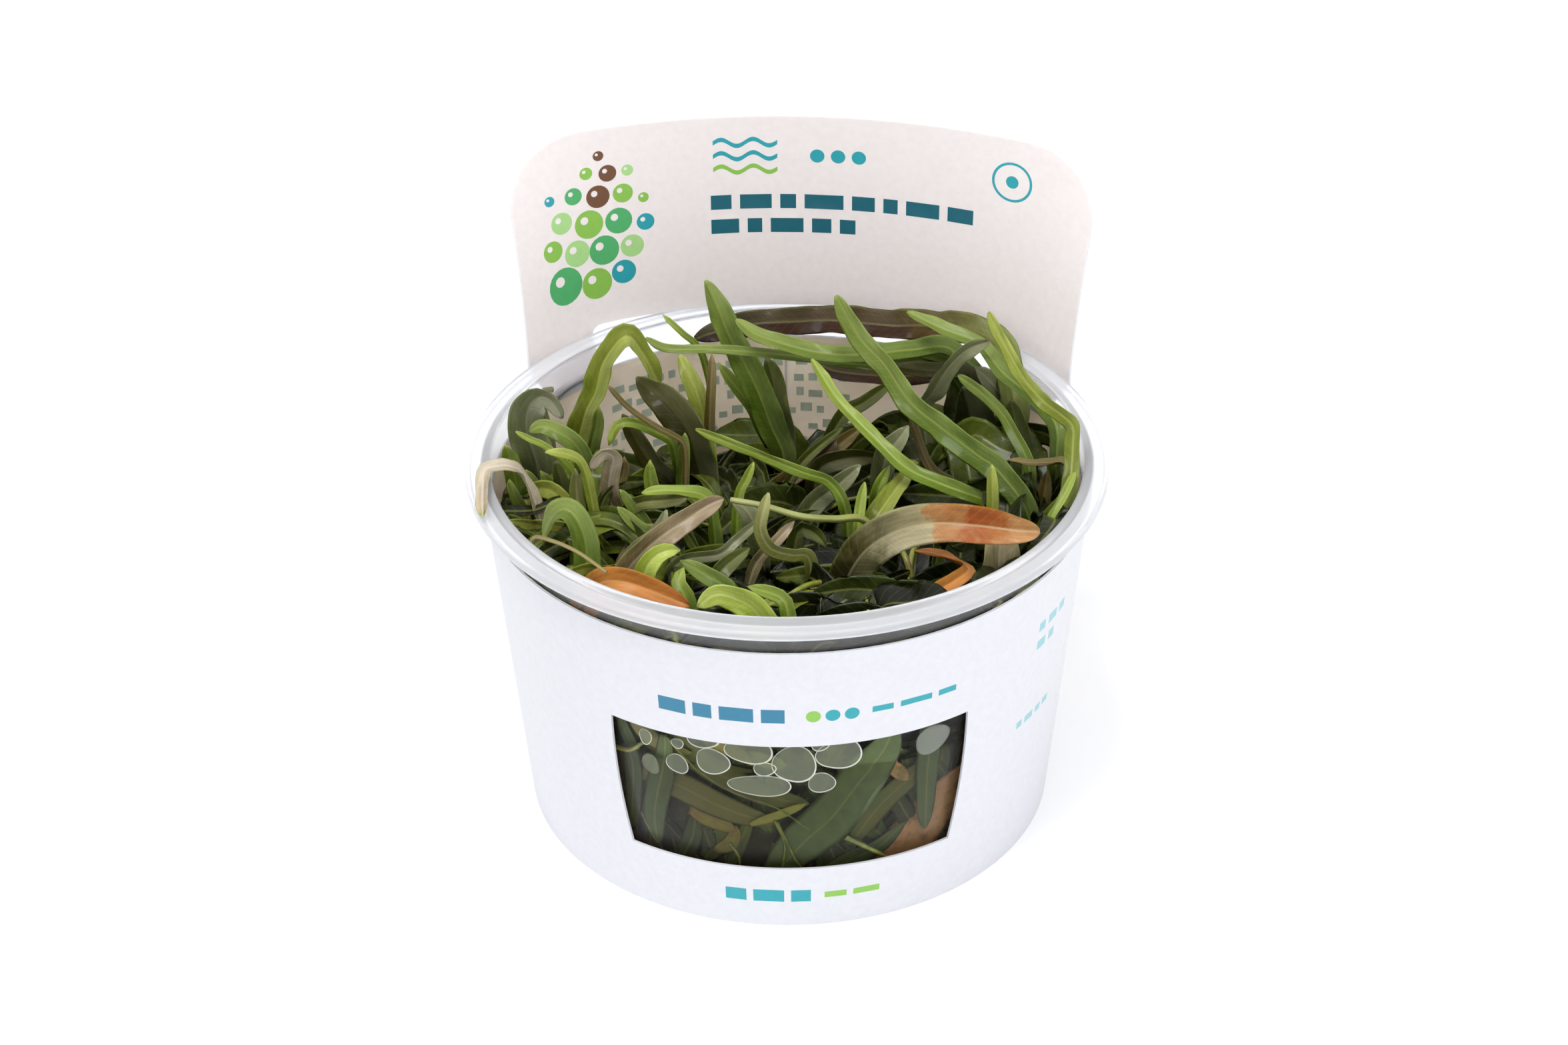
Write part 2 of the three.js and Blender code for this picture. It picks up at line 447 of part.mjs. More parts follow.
function headerGeometry() {
  const heights = [HEADER_FOOT, ...HEADER_ROWS, HEADER_FLARE_TOP, HEADER_TOP - HEADER_CORNER];
  for (const degrees of CORNER_TURNS) {
    heights.push(HEADER_TOP - HEADER_CORNER * (1 - Math.sin(THREE.MathUtils.degToRad(degrees))));
  }
  const rows = heights.map((height) => {
    const half = headerHalf(height);
    const share = (height - HEADER_FOOT) / (HEADER_TOP - HEADER_FOOT);
    return { height, from: -half, to: half, arch: HEADER_TOP_ARCH * share ** 3 };
  });
  return sheetGeometry(rows, HEADER_COLUMNS, CARD);
}

function earGeometry(side) {
  const heights = [SLEEVE_TOP - EAR_LAP, SLEEVE_TOP, ...EAR_ROWS, HEADER_FOOT + EAR_LAP];
  const rows = heights.map((height) => {
    const outer = headerHalf(Math.max(height, HEADER_FOOT)) - EAR_INSET;
    const ends = [side * SLOT_HALF, side * outer].sort((a, b) => a - b);
    return { height, from: ends[0], to: ends[1], arch: 0 };
  });
  return sheetGeometry(rows, EAR_COLUMNS, EAR_CARD);
}

function cardGeometry() {
  const pieces = [headerGeometry(), earGeometry(-1), earGeometry(1)].map(toSolid);
  return toGeometry(pieces.reduce((whole, piece) => whole.add(piece), sleeveSolid()));
}

function gelGeometry() {
  const foot = BASE_TOP + GAP;
  return turned([
    [0, foot],
    [wallRadius(foot) - WALL - GAP - GEL_FOOT_EDGE, foot],
    [wallRadius(foot + GEL_FOOT_EDGE) - WALL - GAP, foot + GEL_FOOT_EDGE],
    [wallRadius(GEL_TOP) - WALL - GAP, GEL_TOP],
    [GEL_POCKET_TOP_RADIUS, GEL_TOP],
    [GEL_POCKET_FOOT_RADIUS, GEL_POCKET_FOOT],
    [0, GEL_POCKET_FOOT],
  ]);
}

// The height of the tangle's lumpy top: higher at the front and up both sides, and lowest at the back
// left, where the card shows through the cup
function tangleTop(x, y) {
  const slope = TANGLE_MIDDLE - TANGLE_SLOPE_FRONT * y + TANGLE_SLOPE_RIGHT * x + TANGLE_SIDE_RISE * x ** 2;
  const slanted = Math.sin(LUMP_RATE.slantX * x - LUMP_RATE.slantY * y);
  const lumps = Math.sin(LUMP_RATE.x * x + 1) * Math.cos(LUMP_RATE.y * y) + slanted / 2;
  const away = TANGLE_HOLLOW.distanceTo(new THREE.Vector2(x, y)) / TANGLE_HOLLOW_RADIUS;
  const hollow = TANGLE_HOLLOW_DEPTH * Math.exp(-(away ** 2));
  const mounds = TANGLE_MOUNDS.reduce((height, mound) => {
    const off = Math.hypot(x - mound.x, y - mound.y) / mound.radius;
    return height + mound.rise * Math.exp(-(off ** 2));
  }, 0);
  return Math.max(TANGLE_LEAST_TOP, slope + TANGLE_LUMP * lumps + mounds - hollow);
}

function tangleGeometry() {
  const points = [[0, 0, GEL_POCKET_FOOT + GAP]];
  const wall = [
    [GEL_POCKET_FOOT_RADIUS - 2 * GAP, GEL_POCKET_FOOT + GAP],
    [GEL_POCKET_TOP_RADIUS - 1.5 * GAP, GEL_TOP + GAP],
    [TANGLE_RINGS[0] - TANGLE_FOOT_INSET, GEL_TOP + 1.5 * GAP],
  ];
  const angle = (step) => 2 * Math.PI * step / TANGLE_STEPS;
  for (const [radius, height] of wall) {
    for (let step = 0; step < TANGLE_STEPS; step++) {
      points.push([radius * Math.cos(angle(step)), radius * Math.sin(angle(step)), height]);
    }
  }
  for (const radius of TANGLE_RINGS) {
    const shoulder = radius === TANGLE_RINGS[0] ? TANGLE_SHOULDER : 0;
    for (let step = 0; step < TANGLE_STEPS; step++) {
      const x = radius * Math.cos(angle(step));
      const y = radius * Math.sin(angle(step));
      points.push([x, y, tangleTop(x, y) - shoulder]);
    }
  }
  points.push([0, 0, tangleTop(0, 0)]);
  const rings = wall.length + TANGLE_RINGS.length;
  const at = (ring, step) => 1 + ring * TANGLE_STEPS + step % TANGLE_STEPS;
  const triangles = [];
  for (let step = 0; step < TANGLE_STEPS; step++) {
    triangles.push([0, at(0, step + 1), at(0, step)]);
    triangles.push([at(rings - 1, step), at(rings - 1, step + 1), points.length - 1]);
    for (let ring = 0; ring < rings - 1; ring++) {
      triangles.push([at(ring, step), at(ring, step + 1), at(ring + 1, step + 1)]);
      triangles.push([at(ring, step), at(ring + 1, step + 1), at(ring + 1, step)]);
    }
  }
  return fromPoints(points, triangles);
}

// How wide a blade is along its length: a narrow foot, a slow taper and a rounded tip. slimness is the
// width as a share of the length.
function leafShare(share, slimness) {
  const widened = Math.sin(Math.PI / 2 * Math.min(1, share / LEAF_FULL_AT));
  const base = LEAF_BASE_SHARE + (1 - LEAF_BASE_SHARE) * widened;
  const taper = Math.max(0, share - LEAF_FULL_AT) / (1 - LEAF_FULL_AT);
  const tip = Math.min(LEAF_TIP_MOST, LEAF_TIP_ROUNDING * slimness);
  const cap = Math.max(0, share - (1 - tip)) / tip;
  return base * (1 - LEAF_TAPER * taper ** LEAF_TAPER_BEND) * Math.sqrt(1 - cap ** 2);
}

// The blade's sideways direction at each station. It looks towards LEAF_FACE at FACE_HELD_AT. From there
// on, where the path turns away, it twists back to it no faster than TWIST_PER_MM.
function bladeSides(tangents, roll, spacing) {
  const wanted = tangents.map((along) => {
    const face = LEAF_FACE.clone().applyAxisAngle(along, roll);
    return new THREE.Vector3().crossVectors(along, face).normalize();
  });
  const sides = [];
  const carry = (from, to) => {
    const along = tangents[to];
    const side = sides[from].clone().projectOnPlane(along).normalize();
    const missing = Math.atan2(along.dot(side.clone().cross(wanted[to])), side.dot(wanted[to]));
    const most = TWIST_PER_MM * spacing;
    sides[to] = side.applyAxisAngle(along, THREE.MathUtils.clamp(missing, -most, most));
  };
  const held = Math.round(FACE_HELD_AT * (tangents.length - 1));
  sides[held] = wanted[held];
  for (let station = held; station < tangents.length - 1; station++) {
    carry(station, station + 1);
  }
  for (let station = held; station > 0; station--) {
    carry(station, station - 1);
  }
  return sides;
}

// A leaf or stalk along its path. room swells it on all sides, for the space that it leaves in the tangle.
function leafGeometry(leaf, room = 0) {
  const path = leaf.path.map((point) => new THREE.Vector3(...point));
  const curve = new THREE.CatmullRomCurve3(path, false, 'catmullrom', 0.5);
  const roll = THREE.MathUtils.degToRad(leaf.turn || 0);
  const length = curve.getLength();
  const wanted = Math.round(length / LEAF_STEP_LENGTH);
  const steps = THREE.MathUtils.clamp(wanted, LEAF_FEWEST_STEPS, LEAF_MOST_STEPS);
  const tangents = Array.from({ length: steps }, (_, step) => curve.getTangentAt(step / steps));
  const sides = bladeSides(tangents, roll, length / steps);
  const points = [];
  for (let step = 0; step < steps; step++) {
    const share = step / steps;
    const along = tangents[step];
    const centre = curve.getPointAt(share);
    if (step === 0) {
      centre.addScaledVector(along, -room);
    }
    const side = sides[step];
    const up = new THREE.Vector3().crossVectors(side, along);
    const widthShare = leaf.stalk ? 1 - STALK_TAPER * share : leafShare(share, leaf.width / length);
    const half = leaf.width / 2 * widthShare + room;
    const deep = (leaf.stalk ? half - room : LEAF_THICKNESS / 2) + room;
    const fold = leaf.stalk ? 0 : 2 * half * LEAF_FOLD;
    const blade = [[-half, fold], [0, deep], [half, fold], [0, -deep]];
    const space = [[-half, fold + deep], [half, fold + deep], [half, -deep], [-half, -deep]];
    for (const [sideways, upwards] of room > 0 ? space : blade) {
      points.push(centre.clone().addScaledVector(side, sideways).addScaledVector(up, upwards).toArray());
    }
  }
  const end = curve.getPointAt(1).addScaledVector(curve.getTangentAt(1), room);
  points.push(end.toArray());
  // each cut across a face runs from the midrib out to the edge, so the two skins stay side by side
  const triangles = [[0, 2, 1], [0, 3, 2]];
  for (let step = 0; step < steps; step++) {
    for (let corner = 0; corner < 4; corner++) {
      const a = step * 4 + corner;
      const b = step * 4 + (corner + 1) % 4;
      if (step === steps - 1) {
        triangles.push([a, b, points.length - 1]);
      } else if (corner % 2 === 0) {
        triangles.push([a, b, a + 4], [b, b + 4, a + 4]);
      } else {
        triangles.push([a, b, b + 4], [a, b + 4, a + 4]);
      }
    }
  }
  return fromPoints(points, triangles);
}

// The tangle, with a little room round each leaf that runs down into it
function pocketedTangle() {
  const whole = toSolid(tangleGeometry());
  const rooms = LEAVES.map((leaf) => toSolid(leafGeometry(leaf, LEAF_ROOM)));
  return toGeometry(rooms.reduce((rest, room) => rest.subtract(room), whole));
}

function addPiece(group, name, geometry, look) {
  const mesh = new THREE.Mesh(geometry, new THREE.MeshStandardMaterial({ metalness: 0, ...look }));
  mesh.name = name;
  group.add(mesh);
}

const plant = new THREE.Group();
addPiece(plant, 'cup', cupGeometry(), {
  color: 0xe9edf2, roughness: 0.15, transparent: true, opacity: 0.35,
});
addPiece(plant, 'card_sleeve', cardGeometry(), { color: 0xf1f1f4, roughness: 0.55 });
addPiece(plant, 'nutrient_gel', gelGeometry(), {
  color: 0xb9bd8e, roughness: 0.1, transparent: true, opacity: 0.5,
});
addPiece(plant, 'leaf_tangle', pocketedTangle(), { color: TONES.dark, roughness: 0.5 });
for (const leaf of LEAVES) {
  addPiece(plant, leaf.name, leafGeometry(leaf), { color: TONES[leaf.tone], roughness: 0.4 });
}

export default plant;
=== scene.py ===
import math
import random

import bpy
import numpy as np
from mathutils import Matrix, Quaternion, Vector, geometry


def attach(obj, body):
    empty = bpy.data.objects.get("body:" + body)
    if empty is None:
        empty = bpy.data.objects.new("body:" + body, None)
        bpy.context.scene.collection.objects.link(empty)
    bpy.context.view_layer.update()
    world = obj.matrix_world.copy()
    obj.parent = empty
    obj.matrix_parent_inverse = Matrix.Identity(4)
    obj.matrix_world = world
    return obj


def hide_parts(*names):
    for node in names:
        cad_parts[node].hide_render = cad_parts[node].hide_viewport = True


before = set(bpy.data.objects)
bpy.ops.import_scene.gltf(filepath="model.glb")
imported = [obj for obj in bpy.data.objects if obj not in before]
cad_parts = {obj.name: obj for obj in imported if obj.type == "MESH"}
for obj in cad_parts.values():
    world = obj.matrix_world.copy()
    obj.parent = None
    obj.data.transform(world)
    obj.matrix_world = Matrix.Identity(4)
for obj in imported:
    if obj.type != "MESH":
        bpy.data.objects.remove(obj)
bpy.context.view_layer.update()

MM = 0.001
ROOT = "root"

# The cup
ROUND_SEGMENTS = 160
FLANGE_RADIUS = 50
FLANGE_TOP = 60
FLANGE_INNER_RADIUS = 47.3
FLANGE_PLATE = 0.8
LIP_DROP = 1.5
LIP_WIDTH = 0.8
BEAD_RISE = 0.35
MOUTH_RADIUS = 46
WALL = 0.8
WALL_FOOT_RADIUS = 41.4
WALL_TOP_RADIUS = 46.9
WALL_TOP = 57.5
FOOT_RING_INNER = 30
BASE_RECESS = 0.6
BASE_TOP = 1.4

# The card
CARD = 0.4
SLEEVE_FOOT_RADIUS = 42.13
SLEEVE_TOP_RADIUS = 47.3
SLEEVE_TOP = 54.4
SLEEVE_MIDDLE_RADIUS = 44.7
WINDOW_FOOT = 11.8
WINDOW_HEAD = 36.6
WINDOW_FOOT_HALF = 24.3
WINDOW_HEAD_HALF = 26.8
WINDOW_BOW = 0.6
HEADER_TURN = math.radians(4.2)
HEADER_FOOT = 60.65
HEADER_TOP = 95.3
HEADER_TOP_ARCH = 1.6
HEADER_BACK = 46.5
HEADER_HALF = 49.8
HEADER_FOOT_HALF = 51
HEADER_FLARE_TOP = 78
HEADER_CORNER = 13
HEADER_FOOT_BEND = 70
HEADER_EAR_BEND = 30
HEADER_BEND_CHANGE = 31
HEADER_TOP_BEND = 115
SLOT_HALF = 36.5
SLOT_CORNER = 1.5
EAR_LAP = 1.2
CARD_OUT_AT = 57.9
SHEET_CARD = 0.3
CARD_GRID = 2.4
HEADER_EDGE_STEP = 1.6
HEADER_GRID = 1.8
GRID_MARGIN = 0.8
EAR_INSET = 0.05
LINING_ROWS = 6
LINING_TOP_ROW = 49
LINING_ROW_STEP = 2.9
LINING_MARK_WIDTHS = (1.6, 2.3, 1.2, 1.9, 1.4)
LINING_MARK_DROPS = (0, 0.25, -0.2, 0.1)
LINING_MARK_HEIGHT = 1.3
LINING_MARK_SPACE = 0.8
# The header ink is a darker, warmer copy of the bare board: painted shade for the header, which is the
# same board as the sleeve.
CARD_INKS = {
    "bare": "#d3d4da", "header": "#d9d4d4", "lining": "#ece2d5", "dark_teal": "#1f6070",
    "teal": "#2b9aa6", "blue_teal": "#2f7796", "pale_teal": "#8fbfc7", "faint_green": "#bac2b6",
    "leaf_green": "#86b950", "mid_green": "#4fa868", "light_green": "#a3cf86", "brown": "#6d4a35",
}
SEEN_THROUGH = ("header", "lining", "faint_green")

# Round bubbles of the header's picture: place, radius and ink
BUBBLE_CLUSTER = [
    (-41, 69, 3.2, "mid_green"), (-35.2, 68, 2.7, "leaf_green"), (-30.4, 69.2, 2.1, "teal"),
    (-38.4, 74, 2.3, "light_green"), (-33.6, 73.6, 2.6, "mid_green"), (-28.8, 73.6, 2.0, "light_green"),
    (-42.8, 75.4, 1.8, "leaf_green"), (-36, 78.6, 2.5, "leaf_green"), (-30.9, 78.4, 2.3, "mid_green"),
    (-40.8, 79.8, 1.9, "light_green"), (-26.4, 77.6, 1.5, "teal"), (-34.2, 83.2, 2.0, "brown"),
    (-38.4, 84, 1.5, "mid_green"), (-30, 83.2, 1.7, "leaf_green"), (-32.4, 87.1, 1.5, "brown"),
    (-36, 87.6, 1.1, "leaf_green"), (-29.1, 87.2, 1.0, "light_green"), (-33.8, 90.4, 0.9, "brown"),
    (-26.6, 82, 0.9, "leaf_green"), (-42.6, 84, 0.9, "teal"),
]

# The gel and the crowd of leaves
GAP = 0.3
GEL_TOP = 30
GEL_FOOT = BASE_TOP + GAP
GEL_EDGE = 1.2
TANGLE_MIDDLE = 43
TANGLE_SLOPE_FRONT = 0.17
TANGLE_SLOPE_RIGHT = 0.03
TANGLE_SIDE_RISE = 0.0045
TANGLE_LUMP = 1.5
TANGLE_HOLLOW = (-22, 33)
TANGLE_HOLLOW_RADIUS = 14
TANGLE_HOLLOW_DEPTH = 4.5
TANGLE_MOUNDS = [(-27, 0, 9, 7), (-18, 12, 7, 6), (32, 18, 9, 7)]
TANGLE_LEAST_TOP = 31.6
LUMP_RATE = {"x": 0.35, "y": 0.31, "slant_x": 0.21, "slant_y": 0.27}
CROWD_QUARTERS = {
    "front_left": (-1, -1), "front_right": (1, -1), "back_left": (-1, 1), "back_right": (1, 1),
}
CROWD_LEAF_STEPS = 5
CROWD_REACH = 41
CROWN_MARGIN = 2.2
CROWD_MARGIN = 1.3
WALL_CLEARANCE = 0.2
PLANTLETS = 13
PLANTLET_LEAVES = 6
# Crowd tones: darker at the right, and darker at the front middle as painted shade; blades broader at
# the right.
DARKER_RIGHT = 0.45
DARKER_FRONT = 0.55
BROADER_RIGHT = 0.8
STRAY_STEMS = 40
STEM_HEADROOM = 2
STRAND_INSET = 0.6
WINDOW_BACK_LEAVES = 90
CORE_SEGMENTS = 120
CORE_FOOT = 5
CORE_SIDE = [(34, 5), (37.2, 6.5), (38, 12), (38.6, 18), (39.2, 24), (39.8, 29), (41.2, 31)]
CORE_TOP_RADII = (41.2, 39, 36, 32, 28, 24, 20, 16, 12, 8, 4, 0)
CORE_DEPTH = 5
CORE_LEAST_TOP = 31.2
CORE_ROUGHNESS = 0.28

# The limits of each random value of a small leaf, a stray stem and a leaf behind the window. They are
# millimetres, but a leaf's rise, bend, swing and turn are degrees, and a heading and a stem's angles are
# radians.
LEAF_RANGES = {
    "depth": (7, 13), "heading": (-0.4, 0.4), "rise": (38, 80), "bend": (20, 120), "swing": (-70, 70),
    "length": (18, 34), "width": (2, 4), "headroom": (0, 4), "turn": (-55, 55), "tone": (-0.25, 0.25),
}
STEM_RANGES = {
    "depth": (4, 9), "heading": (0, 6), "rise": (0.4, 1.3), "bend": (0.4, 1.6), "swing": (-1, 1),
    "length": (14, 26), "width": (0.7, 1.4),
}
BACK_LEAF_RANGES = {
    "along": (-38, 38), "height": (4, 31), "lean": (-9, 9), "reach": (6, 13), "width": (1.8, 4.5),
    "inset": (2.6, 4), "tone": (0.1, 0.6),
}

# Leaves pressed against the window, by distance round the wall from the front and by height:
# width, tone, depth behind the wall, and the path
WINDOW_LEAVES = [
    (8.4, 0.46, 1, [(-3.5, 8), (2, 15.5), (6.7, 20.4), (10.8, 26.5), (14.9, 32.2), (16.5, 37)]),
    (4.4, 0.42, 0.9, [(-20, 34), (-20.7, 28), (-22.2, 22.4), (-23.3, 17), (-23.2, 11.5)]),
    (5.5, 0.68, 1.5, [(-25, 25), (-18.3, 24.5), (-13, 22.5), (-8, 20.8), (-2.5, 19.4)]),
    (4.4, 0.6, 1.9, [(-21, 37), (-16, 31), (-10, 27.5), (-3, 24.5), (3, 23)]),
    (4, 0.42, 0.8, [(22, 39), (22.9, 31.8), (22.8, 25.2), (23.3, 14)]),
    (9.5, 1, 2.2, [(12, 2), (18.5, 9), (23.5, 14.5), (29, 19), (37, 23)]),
    (2.4, 0.95, 1.2, [(15.5, 29.5), (17.5, 27.5), (19.5, 25)]),
    (2.6, 0.9, 0.7, [(-14, 37), (-11.5, 34.6), (-8.4, 33.8), (-5.7, 31.2)]),
    (3, 0.8, 1.2, [(-6.5, 33), (-3.3, 31.6), (-0.5, 31)]),
    (1.8, 0.85, 0.9, [(-6.5, 19.2), (-2.5, 21.1), (2.5, 23.6)]),
    (3.4, 0.9, 2, [(-17, 19.8), (-13, 18.6), (-9, 17)]),
    (2.6, 0.88, 2.2, [(-13, 12), (-10, 14.5), (-9, 18)]),
    (4.4, 0.6, 1.8, [(10, 14), (15, 21), (20, 25), (25, 28)]),
    (3.4, 0.4, 1.6, [(-29, 34), (-27, 27), (-27.5, 20), (-29, 12)]),
    (3, 0.72, 1.4, [(-27, 36), (-24, 33), (-20, 31.5), (-16, 31.5)]),
    (3.4, 0.5, 2.4, [(4, 6), (9, 10), (15, 12), (20, 16)]),
    (3.2, 0.3, 2.4, [(-20, 8), (-17, 14), (-16, 20)]),
]
# Stems and roots behind the window: width and path
WINDOW_STRANDS = [
    (0.5, [(-2.5, 20.4), (-1, 15.9), (-1.2, 12.2), (-2, 9)]),
    (0.5, [(-2.1, 20), (-0.4, 15.5), (1.2, 11.5), (3.5, 9)]),
    (1.1, [(9, 16.3), (12.4, 13.7), (15.5, 11.3), (18, 9.5)]),
    (0.35, [(-19.5, 34), (-15.3, 29.4), (-9.4, 25.7), (-2.5, 23.1), (3, 18.5)]),
    (1, [(-30, 28.5), (-26.7, 29.1), (-23.9, 31.7)]),
    (0.4, [(-25.7, 17), (-24.8, 14.6), (-23.2, 11.6)]),
    (0.6, [(-10, 15), (-8.5, 12), (-9, 8)]),
]

# Air bubbles that press on the wall at the window: place, half width, half height, and rim width
WINDOW_BUBBLES = [
    (-23.1, 33.4, 1.1, 1.5, 0.08), (-22.7, 28.1, 1.5, 2, 0), (-17.9, 29.7, 1.8, 1.9, 0.09),
    (-17.6, 33.8, 1, 1, 0.09), (-12, 31.5, 2.8, 2.4, 0.11), (-13.5, 35.7, 2.7, 1.7, 0.13),
    (-6.2, 34.4, 3.6, 2.6, 0.13), (0.7, 32, 3.3, 3.7, 0.15), (4.6, 36, 1.5, 1.5, 0.12),
    (7.6, 33.5, 3.5, 3, 0.14), (4.9, 28.1, 2.2, 1.9, 0.08), (-4.6, 27.6, 4.8, 2.1, 0.06),
    (-3.9, 31, 1.8, 1.3, 0.1),
]
FROSTED_BUBBLE = (23, 32.4, 3.2, 2.7)
BUBBLE_STEPS = 40
FILM_PROFILE = [(0.3, 0.05), (0.7, 0.06), (0.9, 0.09), (1, 0.16), (0.9, 0.23), (0.7, 0.28), (0.3, 0.3)]
RIM_PROFILE = [(1, 0.03), (1.5, 0.13), (1, 0.24), (0, 0.24), (-0.5, 0.13), (0, 0.03)]
RIM_LEAST = 0.3
RIM_THICKEST_AT = 0.9

# The long leaves
LEAF_STATION = 0.7
LEAF_ACROSS = (0.09, 0.24, 0.44, 0.66, 0.86, 1)
SMALL_LEAF_STATION = 1.2
SMALL_LEAF_ACROSS = (0.12, 0.42, 0.78, 1)
LEAF_FOLD = 0.16
LEAF_BASE_SHARE = 0.45
LEAF_FULL_AT = 0.4
LEAF_TAPER = 0.25
LEAF_TIP_ROUNDING = 1.5
STALK_TAPER = 0.4
LEAF_FACE = np.array((0, -0.84, 0.54))
FACE_HELD_AT = 0.6
TWIST_PER_MM = math.radians(3.5)
BLADE = 0.26
RIB = 0.3
CURVE_SAMPLES = 400
LONGEST_TIP = 0.4
WAVINESS = 0.09
CROWD_WAVINESS = 0.12

